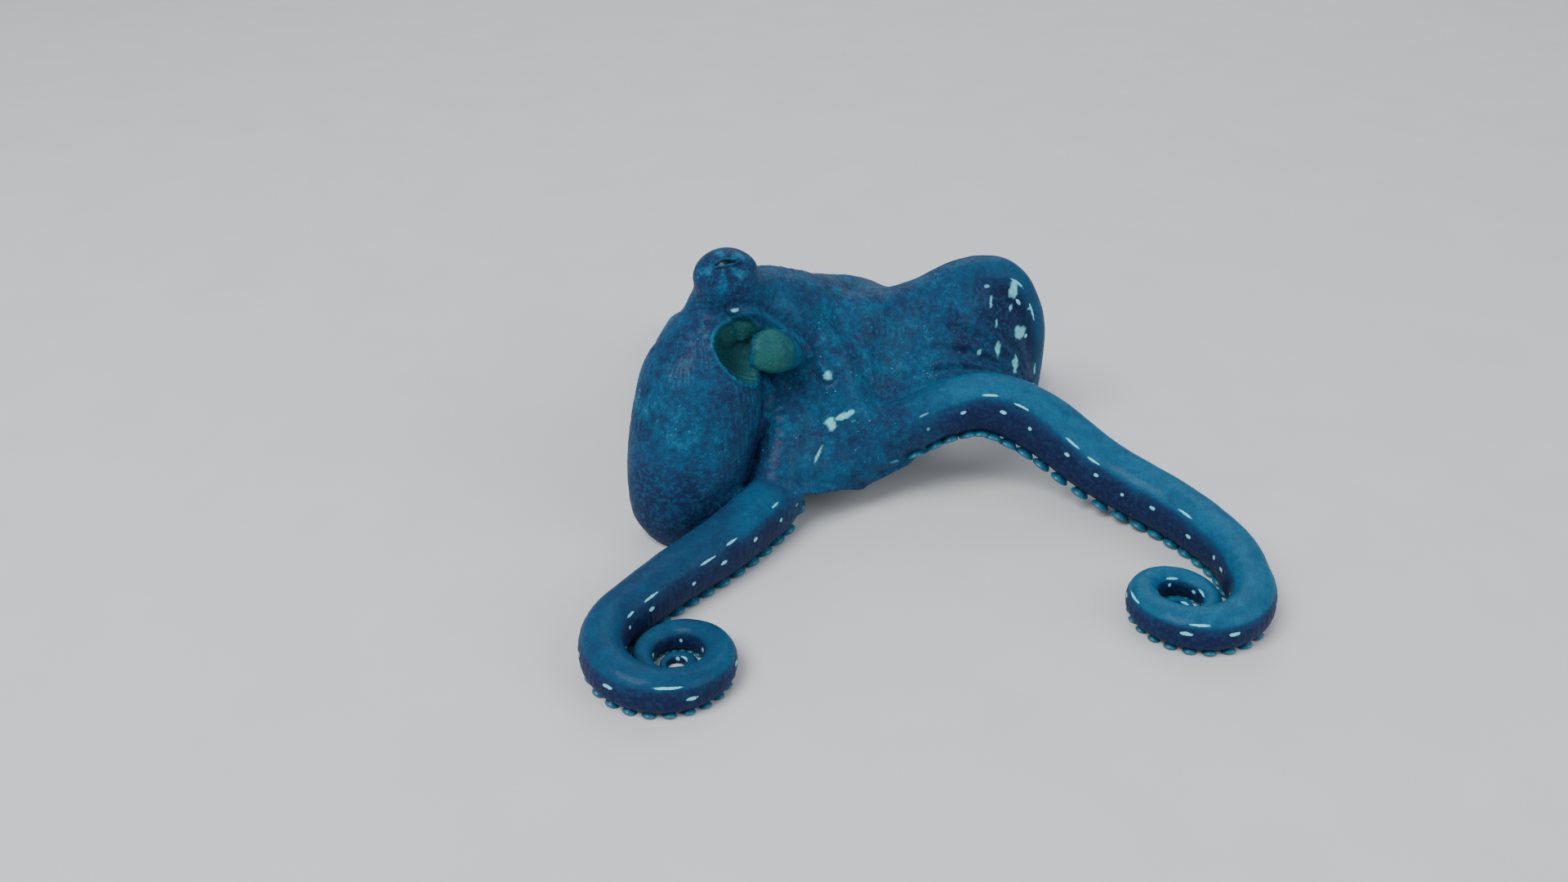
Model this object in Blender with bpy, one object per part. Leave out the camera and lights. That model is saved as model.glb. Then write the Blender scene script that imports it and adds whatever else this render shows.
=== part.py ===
"""A day octopus at rest, life size: mantle, head, eyes, funnel, eight arms and the webs between them.

The animal faces +X with its right side towards -Y.  Its sac-shaped mantle hangs down to the floor,
the head is the top of the bend, and the arms spread from the crown.  One arm arches forward and one
is raised into a lobe; the others rest on the floor and end in coils.  Lengths are in millimetres
and angles in degrees here, and meshes are made in metres.
"""

from dataclasses import dataclass, field
from math import atan2, cos, hypot, pi, radians, sin, tau

import bmesh
import bpy
import numpy as np
from mathutils import Matrix, Vector

MM = 0.001  # metres in a millimetre

# ---- driving dimensions ------------------------------------------------------------------------
GAP = 0.3  # between two pieces that touch
WEB_GAP = 2.8  # between a web and an arm, which bend differently
REST = 0.92  # height of a resting arm's middle, as a share of its half depth: its underside is flat

# Crown: the ring where the eight arms leave the head.
CROWN_CENTRE = (8.0, 75.0, 74.0)
CROWN_RADIUS = 38.0
CROWN_AXIS = (0.55, 0.12, -0.80)  # towards the mouth
CROWN_BACK = (0.40, 0.75, 0.55)  # towards the back of the head, between the first arms
ARM_FLARE = 0.65  # how far an arm leans outwards as it leaves the ring
ARM_DIVE = 0.75  # how far it leans along the axis

# Arms: half as wide as this share of their half depth, thinnest at the tip.
ARM_WIDTH = 0.86
ARM_TIP = 1.5
ARM_SIDES = 8
COIL_GAP = 3.4  # between the turns of a coiled arm
SMALLEST_TURN = 3.0  # a coil stops at this radius
EASE = 0.8  # how early an arm begins to settle on the floor, as a share of its height at rest
SHORTEST_COIL = 20.0  # along the arm
LENGTH_STEP = 2.0  # how closely an arm's length is fitted to the room for its coil
RING_SHARE = 1.3  # distance between an arm's cross-sections, as a share of its half depth
RING_STEPS = (4.2, 14.0)  # the least and the most that it may be
RING_BEND = 0.46  # how far an arm may turn from one cross-section to the next, in radians

# Webs: sheets from arm to arm.
WEB_THICK = 4.0  # at the crown
WEB_THIN = 0.7  # thickness at the margin, as a share of that

# Mantle and head.
FACING_SCALE = 30.0  # gives a section's facing direction weight beside its place in millimetres
BODY_STEP = 12.0  # distance between the head's rings
MANTLE_STEP = 11.0


def unit(vector):
    vector = np.asarray(vector, float)
    return vector / np.linalg.norm(vector, axis=-1, keepdims=True)


def crown_frame():
    """The crown's axis, and its back and right directions, square to each other."""
    axis = unit(CROWN_AXIS)
    back = np.array(CROWN_BACK)
    back = unit(back - (back @ axis) * axis)
    return axis, back, np.cross(axis, back)


def spline(points, start, step=1.0):
    """A centripetal Catmull-Rom curve through the points that leaves the first along start."""
    points = np.asarray(points, float)
    before = points[0] - unit(start) * np.linalg.norm(points[1] - points[0])
    knots = np.vstack([before, points, 2 * points[-1] - points[-2]])
    spans = np.linalg.norm(np.diff(knots, axis=0), axis=1) ** 0.5
    t = np.concatenate([[0], np.cumsum(spans)])

    def between(a, b, low, high, u):
        return ((high - u) * a + (u - low) * b) / (high - low)

    curve = []
    for i in range(1, len(knots) - 2):
        count = max(2, int(np.linalg.norm(knots[i + 1] - knots[i]) / step * 1.5))
        u = np.linspace(t[i], t[i + 1], count, endpoint=False)[:, None]
        first = [between(knots[j], knots[j + 1], t[j], t[j + 1], u) for j in (i - 1, i, i + 1)]
        second = [between(first[j], first[j + 1], t[i - 1 + j], t[i + 1 + j], u) for j in (0, 1)]
        curve.append(between(second[0], second[1], t[i], t[i + 1], u))
    curve.append(points[-1:])
    return np.vstack(curve)


def even_steps(curve, step=1.0):
    """The curve again, with points a step apart."""
    run = np.concatenate([[0], np.cumsum(np.linalg.norm(np.diff(curve, axis=0), axis=1))])
    places = np.linspace(0, run[-1], int(round(run[-1] / step)) + 1)
    return np.stack([np.interp(places, run, curve[:, k]) for k in range(3)], axis=1)


# ---- arms --------------------------------------------------------------------------------------
@dataclass
class Arm:
    """One arm: a route from the crown, then a coil.  Heights of 0 in the route rest on the floor."""

    name: str
    angle: float  # round the crown, from its back towards the right
    route: list
    length: float
    girth: float  # half the depth at the crown
    taper: float  # higher keeps the arm thick for longer
    coil: float  # radius of the first turn
    side: int  # the coil turns left (1) or right (-1)
    tilt: float = 0.0  # of the coil's plane from the floor
    swell: tuple = (0.0, 1.0, 0.0)  # where it starts and is full, and the half depth that it adds
    upper: dict = field(default_factory=dict)  # where the upper side faces, by route point
    cuts: tuple = (0.27, 0.6)  # shares of the length where it is divided

    def half_depth(self, along):
        share = np.clip(np.asarray(along, float) / self.length, 0, 1)
        start, full, extra = self.swell
        swollen = np.clip((np.asarray(along, float) - start) / (full - start), 0, 1)
        swollen = extra * swollen**2 * (3 - 2 * swollen) * (1 - share**2)
        return ARM_TIP + (self.girth - ARM_TIP) * (1 - share**self.taper) ** 0.9 + swollen

    def build_path(self):
        """Finds the centre line, and at each millimetre the direction that the upper side faces."""
        axis, back, right = crown_frame()
        spoke = cos(radians(self.angle)) * back + sin(radians(self.angle)) * right
        base = np.array(CROWN_CENTRE) + CROWN_RADIUS * spoke
        start = unit(ARM_DIVE * axis + ARM_FLARE * spoke)
        points = [base, *(np.array(p, float) for p in self.route)]
        route = even_steps(spline(points, start))
        upper = self.upper_sides(route, points, unit(ARM_DIVE * spoke - ARM_FLARE * axis))
        fits, too_long = len(route) + SHORTEST_COIL, self.length
        while too_long - fits > LENGTH_STEP:  # the longest arm whose coil has room for it
            self.length = (fits + too_long) / 2
            line, coil, coil_upper = self.lay(route)
            if len(line) + len(coil) > self.length:
                fits = self.length
            else:
                too_long = self.length
        self.length = fits
        line, coil, coil_upper = self.lay(route)
        self.length = len(line) + len(coil) - 1.0
        self.line = np.vstack([line, coil])
        self.ahead = unit(np.gradient(self.line, axis=0))
        over = np.vstack([upper, coil_upper])
        self.over = unit(over - (over * self.ahead).sum(1)[:, None] * self.ahead)
        self.across = np.cross(self.ahead, self.over)

    def lay(self, route):
        """The route with its floor stretch at rest, and the coil after it."""
        line = route.copy()
        line[:, 2] = self.rest_on_floor(line[:, 2], np.arange(len(line)))
        return line, *self.coil_path(line, len(line) - 1)

    def rest_on_floor(self, height, along):
        """Raises the line so that the arm lies on the floor, easing in over a few millimetres."""
        rest = self.half_depth(along) * REST
        ease = EASE * rest
        near = np.maximum(ease - np.abs(height - rest), 0)
        return np.maximum(height, rest) + near**2 / (4 * ease)

    def upper_sides(self, line, points, at_base):
        """The upper side's direction along the route, from those named at its points."""
        named = [at_base]
        named += [unit(self.upper.get(i, (0, 0, 1))) for i in range(1, len(points))]
        nearest = [int(np.linalg.norm(line - p[None], axis=1).argmin()) for p in points]
        nearest = np.maximum.accumulate(nearest)
        places = np.arange(len(line))
        return np.stack([np.interp(places, nearest, [v[k] for v in named]) for k in range(3)], 1)

    def turn_fall(self, here, radius):
        """How much a coil's radius falls for each radian, so that its next turn stays clear."""
        width = self.half_depth(here - pi * radius) + self.half_depth(here + pi * radius)
        return (ARM_WIDTH * width + COIL_GAP) / tau

    def coil_path(self, line, done):
        """A flat spiral whose turns stay clear of each other, and its upper directions."""
        ahead = line[-1] - line[-3]
        ahead = unit([ahead[0], ahead[1], 0.0])
        lean = radians(self.tilt)
        inward = np.cross((0, 0, 1), ahead) * self.side * cos(lean) + np.array([0, 0, sin(lean)])
        slope = atan2(self.turn_fall(done, self.coil), self.coil)
        ahead, inward = (
            ahead * cos(slope) - inward * sin(slope),
            inward * cos(slope) + ahead * sin(slope),
        )
        centre = line[-1] + inward * self.coil
        radius, angle, points = self.coil, 0.0, []
        while done + len(points) < self.length and radius > SMALLEST_TURN:
            here = done + len(points)
            fall = self.turn_fall(here, radius)
            step = 1 / hypot(radius, fall)
            angle += step
            radius -= fall * step
            point = centre - inward * radius * cos(angle) + ahead * radius * sin(angle)
            if not self.tilt:
                point[2] = self.half_depth(here + 1) * REST
            points.append(point)
        points = np.array(points)
        if not self.tilt:
            return points, np.tile((0.0, 0.0, 1.0), (len(points), 1))
        return points, unit(centre - points)

    def frame(self, along):
        """Centre, upper direction, sideways direction and half depth at a place along the arm."""
        i = min(max(float(along), 0), self.length)
        low = min(int(i), len(self.line) - 2)
        part = i - low

        def at(rows):
            return rows[low] * (1 - part) + rows[low + 1] * part

        return at(self.line), unit(at(self.over)), unit(at(self.across)), float(self.half_depth(i))

    def ring(self, along, sides):
        """One cross-section, pressed flat where it meets the floor."""
        centre, over, across, half = self.frame(along)
        ring = []
        for i in range(sides):
            angle = tau * (i + 0.5) / sides
            point = centre + over * half * cos(angle) + across * half * ARM_WIDTH * sin(angle)
            point[2] = max(point[2], 0.0)
            ring.append(point)
        return ring

    def stations(self, start, end):
        """Where the cross-sections go: closer together where the arm is thin or bends."""
        places = [start]
        while places[-1] < end:
            here = places[-1]
            low, high = int(max(here - 3, 0)), int(min(here + 9, self.length))
            bend = np.linalg.norm(self.ahead[high] - self.ahead[low]) / max(high - low, 1)
            step = min(RING_SHARE * self.half_depth(here), RING_STEPS[1], RING_BEND / max(bend, 0.02))
            places.append(here + max(step, RING_STEPS[0]))
        count = len(places) - 1
        scale = (end - start) / (places[count] - start)
        return [start + (p - start) * scale for p in places]

    def facing(self, along, towards):
        """The point on the flank that faces a target, a web's gap away from the surface."""
        centre, over, across, half = self.frame(along)
        way = np.asarray(towards) - centre
        up, out = way @ over, way @ across
        length = hypot(up, out)
        up, out = up / length, out / length
        reach = 1 / hypot(up / half, out / (half * ARM_WIDTH)) + WEB_GAP
        return centre + (over * up + across * out) * reach


ARMS = [
    Arm("arm_right_4", 157.5, [(1, 20, 50), (-1, 5, 34), (-9, -16, 0), (-31, -50, 0),
        (-60, -84, 0), (-80, -110, 0)], 560, 16.0, 1.55, 37, 1, swell=(15, 65, 3.0)),
    Arm("arm_right_3", 112.5, [(34, 28, 55), (46, 22, 43), (66, 23, 44), (90, 31, 51),
        (114, 36, 54), (144, 34, 43), (179, 12, 24), (215, -18, 8), (236, -58, 0),
        (238, -84, 0)], 600, 16.5, 2.0, 34, -1, swell=(80, 150, 4.0)),
    Arm("arm_right_2", 67.5, [(60, 76, 90), (84, 88, 93), (106, 96, 101), (127, 101, 101),
        (141, 105, 80), (145, 114, 45), (149, 134, 0), (158, 160, 0)], 560, 17.0, 1.6, 30, 1,
        swell=(110, 160, 2.5), upper={4: (0.8, 0, 0.6), 5: (1, 0, 0), 6: (1, -0.2, 0.3)},
        cuts=(0.2, 0.62)),
    Arm("arm_right_1", 22.5, [(54, 122, 76), (72, 152, 40), (84, 182, 0), (104, 210, 0),
        (132, 226, 0), (156, 242, 0)], 520, 14.5, 1.35, 29, 1),
    Arm("arm_left_1", 337.5, [(22, 142, 58), (32, 174, 18), (38, 202, 0), (57, 219, 0),
        (81, 229, 0)], 460, 14.5, 1.35, 26, 1),
    Arm("arm_left_2", 292.5, [(-8, 138, 40), (-5, 170, 6), (-1, 200, 0), (5, 226, 0),
        (17, 246, 0)], 480, 14.5, 1.35, 27, 1),
    Arm("arm_left_3", 247.5, [(-30, 112, 34), (-38, 134, 10), (-46, 154, 0)], 430, 14.5, 1.2, 33,
        -1, tilt=84),
    Arm("arm_left_4", 202.5, [(-32, 66, 30), (-50, 70, 0), (-72, 84, 0), (-81, 110, 0),
        (-83, 140, 0), (-82, 170, 0), (-80, 200, 0), (-76, 230, 0)], 520, 14.5, 1.35, 28, -1),
]


# ---- webs --------------------------------------------------------------------------------------
@dataclass
class Web:
    """The sheet between two neighbouring arms, with a margin that curves in towards the crown."""

    name: str
    first: Arm
    second: Arm
    first_span: tuple  # along the first arm, from near the crown to the margin
    second_span: tuple
    dip: float  # how far the margin curves in, as a share of the span
    drop: float = 0.0  # how far the sheet hangs below a straight line from arm to arm
    under: float = 0.0  # how far the margin moves round to the second arm's underside
    outer: tuple = (0.0, 0.0)  # how far its edges move outwards, at the crown and at the margin
    across: int = 6
    along: int = 7

    def grid(self):
        """The middle of the sheet, as rows of points from the crown out."""
        rows = []
        for v in np.linspace(0, 1, self.along):
            row = []
            for u in np.linspace(0, 1, self.across):
                arch = sin(pi * u) ** 2
                out = v * (1 - self.dip * arch)
                a = self.first_span[0] * (1 - out) + self.first_span[1] * out
                b = self.second_span[0] * (1 - out) + self.second_span[1] * out
                first, second = self.first.frame(a), self.second.frame(b)
                outward = unit(first[1] + second[1])
                outward = outward * (self.outer[0] * (1 - out) + self.outer[1] * out)
                left = self.first.facing(a, second[0] + outward)
                aim = first[0] + outward - (0, 0, self.under * out)
                right = self.second.facing(b, aim)
                point = left * (1 - u) + right * u
                point[2] -= self.drop * arch * out
                row.append(point)
            rows.append(row)
        return np.array(rows)

    def build(self, material):
        middle = self.grid()
        down, over = np.gradient(middle, axis=0), np.gradient(middle, axis=1)
        normal = unit(np.cross(down, over))
        thick = WEB_THICK * np.linspace(1, WEB_THIN, self.along)[:, None, None]
        floor = np.maximum(middle[..., 2:], WEB_THICK / 2)
        middle = np.concatenate([middle[..., :2], floor], axis=2)
        sheets = [middle + normal * thick / 2, middle - normal * thick / 2]
        for sheet in sheets:
            sheet[..., 2] = np.maximum(sheet[..., 2], 0)
        mesh = bmesh.new()
        verts = [[[mesh.verts.new(p * MM) for p in row] for row in sheet] for sheet in sheets]
        rows, columns = range(self.along - 1), range(self.across - 1)
        for sheet in verts:
            for i in rows:
                for j in columns:
                    corners = (sheet[i][j], sheet[i + 1][j], sheet[i + 1][j + 1], sheet[i][j + 1])
                    mesh.faces.new(corners)
        rim = [(0, j) for j in range(self.across)]
        rim += [(i, self.across - 1) for i in range(1, self.along)]
        rim += [(self.along - 1, j) for j in range(self.across - 2, -1, -1)]
        rim += [(i, 0) for i in range(self.along - 2, 0, -1)]
        for (i, j), (k, m) in zip(rim, rim[1:] + rim[:1]):
            mesh.faces.new((verts[0][i][j], verts[0][k][m], verts[1][k][m], verts[1][i][j]))
        return finish(self.name, mesh, material)


# ---- making objects ----------------------------------------------------------------------------
def finish(name, mesh, material, collection=None):
    """Turns a bmesh into an object with its faces pointing out."""
    bmesh.ops.recalc_face_normals(mesh, faces=mesh.faces)
    data = bpy.data.meshes.new(name)
    mesh.to_mesh(data)
    mesh.free()
    data.shade_smooth()
    obj = bpy.data.objects.new(name, data)
    if material is None:
        obj.hide_render = True
        obj.display_type = "WIRE"
    else:
        data.materials.append(material)
    (collection or bpy.data.collections[BODY]).objects.link(obj)
    return obj


def loft(name, rings, material, collection=None):
    """A closed skin over rings that have the same number of points, with its ends filled."""
    mesh = bmesh.new()
    rows = [[mesh.verts.new(Vector(p) * MM) for p in ring] for ring in rings]
    for low, high in zip(rows, rows[1:]):
        for i in range(len(low)):
            j = (i + 1) % len(low)
            mesh.faces.new((low[i], low[j], high[j], high[i]))
    for row in (rows[0], rows[-1]):
        middle = mesh.verts.new(sum((v.co for v in row), Vector()) / len(row))
        for i in range(len(row)):
            mesh.faces.new((row[i], row[(i + 1) % len(row)], middle))
    return finish(name, mesh, material, collection)


def ellipse(centre, facing, wide, deep, sides, towards=(0, 1, 0)):
    """A ring of points square to facing; its depth lies along towards."""
    facing = unit(facing)
    over = unit(np.array(towards, float) - (np.array(towards) @ facing) * facing)
    across = np.cross(facing, over)
    ring = []
    for i in range(sides):
        angle = tau * i / sides
        point = np.asarray(centre) + over * deep * cos(angle) + across * wide * sin(angle)
        point[2] = max(point[2], 0.0)
        ring.append(point)
    return ring


def smooth_rings(sections, sides, step):
    """Rings along a body whose sections give a centre, a facing direction, a width and a depth."""
    rows = np.array([[*c, *(unit(f) * FACING_SCALE), wide, deep] for c, f, wide, deep in sections])
    dense = spline(rows, rows[1] - rows[0], 0.5)
    run = np.concatenate([[0], np.cumsum(np.linalg.norm(np.diff(dense, axis=0), axis=1))])
    places = np.linspace(0, run[-1], int(run[-1] / step) + 1)
    rows = np.stack([np.interp(places, run, dense[:, k]) for k in range(8)], axis=1)
    return [ellipse(row[:3], row[3:6], row[6], row[7], sides) for row in rows]


def ball(name, centre, radii, material, facing=(0, 0, 1), segments=14, rings=8, collection=None):
    """A sphere or ellipsoid with its pole facing a direction."""
    mesh = bmesh.new()
    bmesh.ops.create_uvsphere(mesh, u_segments=segments, v_segments=rings, radius=1)
    turn = Vector(facing).to_track_quat("Z", "Y").to_matrix().to_4x4()
    size = Matrix.Diagonal((*radii, 1))
    place = Matrix.Translation(Vector(centre))
    mesh.transform(Matrix.Scale(MM, 4) @ place @ turn @ size)
    return finish(name, mesh, material, collection)


def boolean(obj, tool, operation):
    modifier = obj.modifiers.new(f"{operation.lower()} {tool.name}", "BOOLEAN")
    modifier.operation = operation
    modifier.object = tool
    modifier.solver = "EXACT"


def surface(name, colour, roughness):
    """A plain Principled material."""
    material = bpy.data.materials.new(name)
    material.use_nodes = True
    shader = material.node_tree.nodes["Principled BSDF"]
    shader.inputs["Base Color"].default_value = (*colour, 1)
    shader.inputs["Roughness"].default_value = roughness
    shader.inputs["Metallic"].default_value = 0.0
    return material


# ---- body --------------------------------------------------------------------------------------
BODY = "octopus"
CUTTERS = "cutters"

# Mantle, from its tip on the floor to its rim: centre, facing, half width, half depth.
MANTLE = [
    ((-59, -19, 0), (0, 0, 1), 12, 11),
    ((-58.5, -18, 4), (0.05, 0.2, 1), 19, 18),
    ((-57.5, -15.5, 12), (0.08, 0.3, 1), 26, 25),
    ((-55.5, -10, 27), (0.12, 0.4, 1), 31, 30),
    ((-50, 3, 56), (0.2, 0.45, 1), 34.5, 33),
    ((-44, 14, 80), (0.4, 0.5, 1), 34, 32),
    ((-36, 24.5, 96), (0.75, 0.6, 0.8), 28.5, 28),
    ((-30, 31, 102.5), (0.9, 0.62, 0.45), 25, 25),
]
# Head, from the neck to the mouth.
HEAD = [
    ((-29.5, 31.5, 103), (0.9, 0.62, 0.42), 24, 24),
    ((-19, 42, 106), (0.8, 0.62, 0.0), 27, 26),
    ((-9.5, 51, 101), (0.65, 0.48, -0.60), 31, 30),
    ((-3, 62, 92), (0.6, 0.28, -0.75), 37, 35),
]
CROWN_RINGS = [(-11.5, 42), (-1.2, 33.5), (13, 17.5), (23, 5)]  # place along the axis, radius

TURRETS = [  # side, middle of the mound, where the eye looks, foot on the head, half width
    ("right", (-31, 24, 136.5), (0.0, -0.58, 0.81), (-26, 34, 112), 17.0),
    ("left", (-27, 61, 114), (-0.35, 0.80, 0.48), (-21, 48, 108), 14.5),
]
TURRET_SIDES = 16
TURRET_FOOT = 1.30  # half width of a mound's foot, as a share of the mound's half width
TURRET_NECK = (1.15, 1.12)  # half width and half depth above it, likewise
TURRET_DOME = (1.08, 1.0, 0.95)  # half width, half depth and height of its dome, likewise
TURRET_LEAN = 130  # how many degrees up the dome would take it to face as the eye looks
TURRET_STEP = 18  # degrees up the dome from one ring to the next
EYEBALL = 0.58  # radius of an eye, as a share of its mound's half width
EYE_DEPTH = 0.44  # from the middle of the mound to the middle of the eye, likewise

OPENING = (-20, 3, 103.5)  # the pocket between the mantle's rim and the head
OPENING_RADII = (19, 14, 19)
FUNNEL = [  # centre, half width, half height
    ((2, 24, 93), 7.5, 8.5),
    ((-4, 14, 98), 8.5, 11.0),
    ((-10, 6, 102), 8.0, 12.0),
    ((-15, 2, 103.5), 6.2, 10.0),
    ((-18, 0.5, 104), 5.0, 8.0),
]
FUNNEL_UP = (0, 0.5, 0.87)  # along its height
FUNNEL_WALL = 2.2
FUNNEL_BORE = 9.0


def turret(name, centre, look, foot, size, extra, tools):
    """The mound that carries an eye: a broad foot on the head and a domed top."""
    centre, look, foot = np.array(centre, float), unit(look), np.array(foot, float)
    rise = unit(centre - foot)
    size += extra
    wide, deep = TURRET_NECK
    rings = [ellipse(foot - rise * extra, rise, size * TURRET_FOOT, size * TURRET_FOOT, TURRET_SIDES)]
    rings.append(ellipse((foot + centre) / 2, rise, size * wide, size * deep, TURRET_SIDES))
    wide, deep, high = TURRET_DOME
    for angle in range(0, 90, TURRET_STEP):
        a = radians(angle)
        turned = angle / TURRET_LEAN
        lean = unit(rise * (1 - turned) + look * turned)
        place = centre + lean * size * high * sin(a)
        rings.append(ellipse(place, lean, size * wide * cos(a), size * deep * cos(a), TURRET_SIDES))
    return loft(name, rings, None, tools)


def build_funnel(name, material, extra, tools=None):
    """The siphon: a soft tube with a slit of a mouth, or the larger tool that makes room for it."""
    ways = [np.array(c, float) for c, _, _ in FUNNEL]
    last = len(ways) - 1
    aims = [unit(ways[min(i + 1, last)] - ways[max(i - 1, 0)]) for i in range(last + 1)]
    ways[0] -= aims[0] * extra
    rings = [
        ellipse(c, aim, wide + extra, tall + extra, 14, FUNNEL_UP)
        for c, aim, (_, wide, tall) in zip(ways, aims, FUNNEL)
    ]
    if not extra:
        mouth, aim, (_, wide, tall) = ways[-1], aims[-1], FUNNEL[-1]
        wide, tall = wide - FUNNEL_WALL, tall - FUNNEL_WALL
        rings.append(ellipse(mouth, aim, wide, tall, 14, FUNNEL_UP))
        rings.append(ellipse(mouth - aim * FUNNEL_BORE, aim, wide, tall * 0.8, 14, FUNNEL_UP))
    return loft(name, rings, material, tools)


def head_rings(extra):
    """The head from the neck to the mouth, or the larger tool that makes room for it."""
    axis, _, _ = crown_frame()
    sections = [(c, facing, wide + extra, deep + extra) for c, facing, wide, deep in HEAD]
    for place, radius in CROWN_RINGS:
        centre = np.array(CROWN_CENTRE) + axis * (place + extra)
        sections.append((tuple(centre), tuple(axis), radius + extra, radius + extra))
    if extra:
        centre, facing, wide, deep = sections[0]
        sections[0] = (tuple(np.array(centre) - unit(facing) * extra), facing, wide, deep)
    return smooth_rings(sections, 16, BODY_STEP)


def build_body(skin, dark, eye, tools):
    """Mantle, head, funnel and eyes."""
    mantle = loft("mantle", smooth_rings(MANTLE, 14, MANTLE_STEP), skin)
    head = loft("head", head_rings(0.0), skin)
    boolean(mantle, loft("head_room", head_rings(2 * GAP), None, tools), "DIFFERENCE")
    for side, centre, look, foot, size in TURRETS:
        mound = turret(f"turret_{side}", centre, look, foot, size, 0.0, tools)
        boolean(head, mound, "UNION")
        room = turret(f"turret_room_{side}", centre, look, foot, size, 2 * GAP, tools)
        boolean(mantle, room, "DIFFERENCE")
    for side, centre, look, _, size in TURRETS:
        middle = np.array(centre) + unit(look) * EYE_DEPTH * size
        radius = EYEBALL * size
        socket = ball(f"socket_{side}", middle, [radius + GAP] * 3, None, look, collection=tools)
        boolean(head, socket, "DIFFERENCE")
        ball(f"eye_{side}", middle, [radius] * 3, eye, look)
    build_funnel("funnel", dark, 0.0)
    pocket = ball("opening", OPENING, OPENING_RADII, None, collection=tools)
    room = build_funnel("funnel_room", None, GAP * 2, tools)
    for obj in (mantle, head):
        boolean(obj, room, "DIFFERENCE")
        boolean(obj, pocket, "DIFFERENCE")


def build_arm(arm, material):
    """An arm in three lengths, with a thin cut between them."""
    ends = [0.0, *(round(arm.length * cut) for cut in arm.cuts), arm.length]
    for label, start, end in zip(("base", "middle", "tip"), ends, ends[1:]):
        start += GAP / 2 if start else 0
        end -= GAP / 2 if end < arm.length else 0
        rings = [arm.ring(place, ARM_SIDES) for place in arm.stations(start, end)]
        loft(f"{arm.name}_{label}", rings, material)


def webs():
    """The eight webs, in order round the crown."""
    r4, r3, r2, r1, l1, l2, l3, l4 = ARMS
    return [
        Web("web_right_3_4", r4, r3, (31, 92), (33, 122), 0.18, 20, 220, (30, 0), along=9),
        Web("web_right_2_3", r3, r2, (20, 144), (20, 166), 0.07, 2, outer=(50, 25), along=9),
        Web("web_right_1_2", r2, r1, (26, 112), (30, 104), 0.28),
        Web("web_between_first_arms", r1, l1, (26, 104), (26, 98), 0.25),
        Web("web_left_1_2", l1, l2, (24, 98), (24, 96), 0.25),
        Web("web_left_2_3", l2, l3, (24, 92), (24, 84), 0.25),
        Web("web_left_3_4", l3, l4, (24, 80), (24, 92), 0.25),
        Web("web_between_fourth_arms", l4, r4, (24, 78), (24, 84), 0.30),
    ]


def stand_at_origin(objects):
    """Moves the whole animal so that the middle of its footprint is the origin."""
    corners = [obj.matrix_world @ v.co for obj in objects for v in obj.data.vertices]
    low = [min(c[k] for c in corners) for k in range(3)]
    high = [max(c[k] for c in corners) for k in range(3)]
    return Vector((-(low[0] + high[0]) / 2, -(low[1] + high[1]) / 2, -low[2]))


def main():
    for obj in list(bpy.data.objects):
        bpy.data.objects.remove(obj)
    body = bpy.data.collections.new(BODY)
    tools = bpy.data.collections.new(CUTTERS)
    for collection in (body, tools):
        bpy.context.scene.collection.children.link(collection)
    skin = surface("octopus_skin", (0.004, 0.075, 0.17), 0.45)
    web_skin = surface("web_skin", (0.004, 0.075, 0.17), 0.5)
    funnel_skin = surface("funnel_skin", (0.006, 0.08, 0.09), 0.4)
    eye = surface("eye", (0.01, 0.07, 0.11), 0.08)
    for arm in ARMS:
        arm.build_path()
        build_arm(arm, skin)
    for web in webs():
        web.build(web_skin)
    build_body(skin, funnel_skin, eye, tools)
    shift = stand_at_origin(body.objects)
    for obj in (*body.objects, *tools.objects):
        obj.data.transform(Matrix.Translation(shift))


main()
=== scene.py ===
"""A day octopus resting on its arms, life size: one wet skin, two eyes and rows of suckers.

Shapes are worked out in the animal's own frame, in millimetres: it faces +X with its right side
towards -Y.  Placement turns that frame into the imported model's frame, which is in metres.
"""

import logging
from dataclasses import dataclass, field
from enum import Enum
from math import atan2, cos, hypot, pi, radians, sin, tau
from typing import Any

import bmesh
import bpy
import numpy as np
from bpy.types import ID, Material, Mesh, Node, NodeSocket, NodeTree, Object
from mathutils import Matrix, Vector
from numpy.typing import ArrayLike, NDArray

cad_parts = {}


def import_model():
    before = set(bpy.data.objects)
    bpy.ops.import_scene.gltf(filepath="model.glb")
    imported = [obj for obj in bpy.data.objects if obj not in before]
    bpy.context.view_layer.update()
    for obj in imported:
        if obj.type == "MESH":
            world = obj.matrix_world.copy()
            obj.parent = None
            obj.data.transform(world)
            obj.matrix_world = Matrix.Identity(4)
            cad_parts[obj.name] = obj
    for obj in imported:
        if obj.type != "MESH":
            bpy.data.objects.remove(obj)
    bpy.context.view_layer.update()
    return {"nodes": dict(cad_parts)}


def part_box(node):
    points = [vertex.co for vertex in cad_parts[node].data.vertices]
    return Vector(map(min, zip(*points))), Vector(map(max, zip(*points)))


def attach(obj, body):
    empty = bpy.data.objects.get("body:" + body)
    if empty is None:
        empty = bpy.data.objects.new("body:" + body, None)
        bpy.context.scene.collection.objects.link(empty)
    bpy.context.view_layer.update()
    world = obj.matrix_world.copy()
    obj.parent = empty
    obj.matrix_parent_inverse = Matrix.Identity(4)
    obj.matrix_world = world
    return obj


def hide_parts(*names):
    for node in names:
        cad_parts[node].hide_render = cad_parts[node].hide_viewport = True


Array = NDArray[np.float64]
Point = tuple[float, float, float]

LOG = logging.getLogger("octopus")
MM = 0.001  # metres in a millimetre

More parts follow.
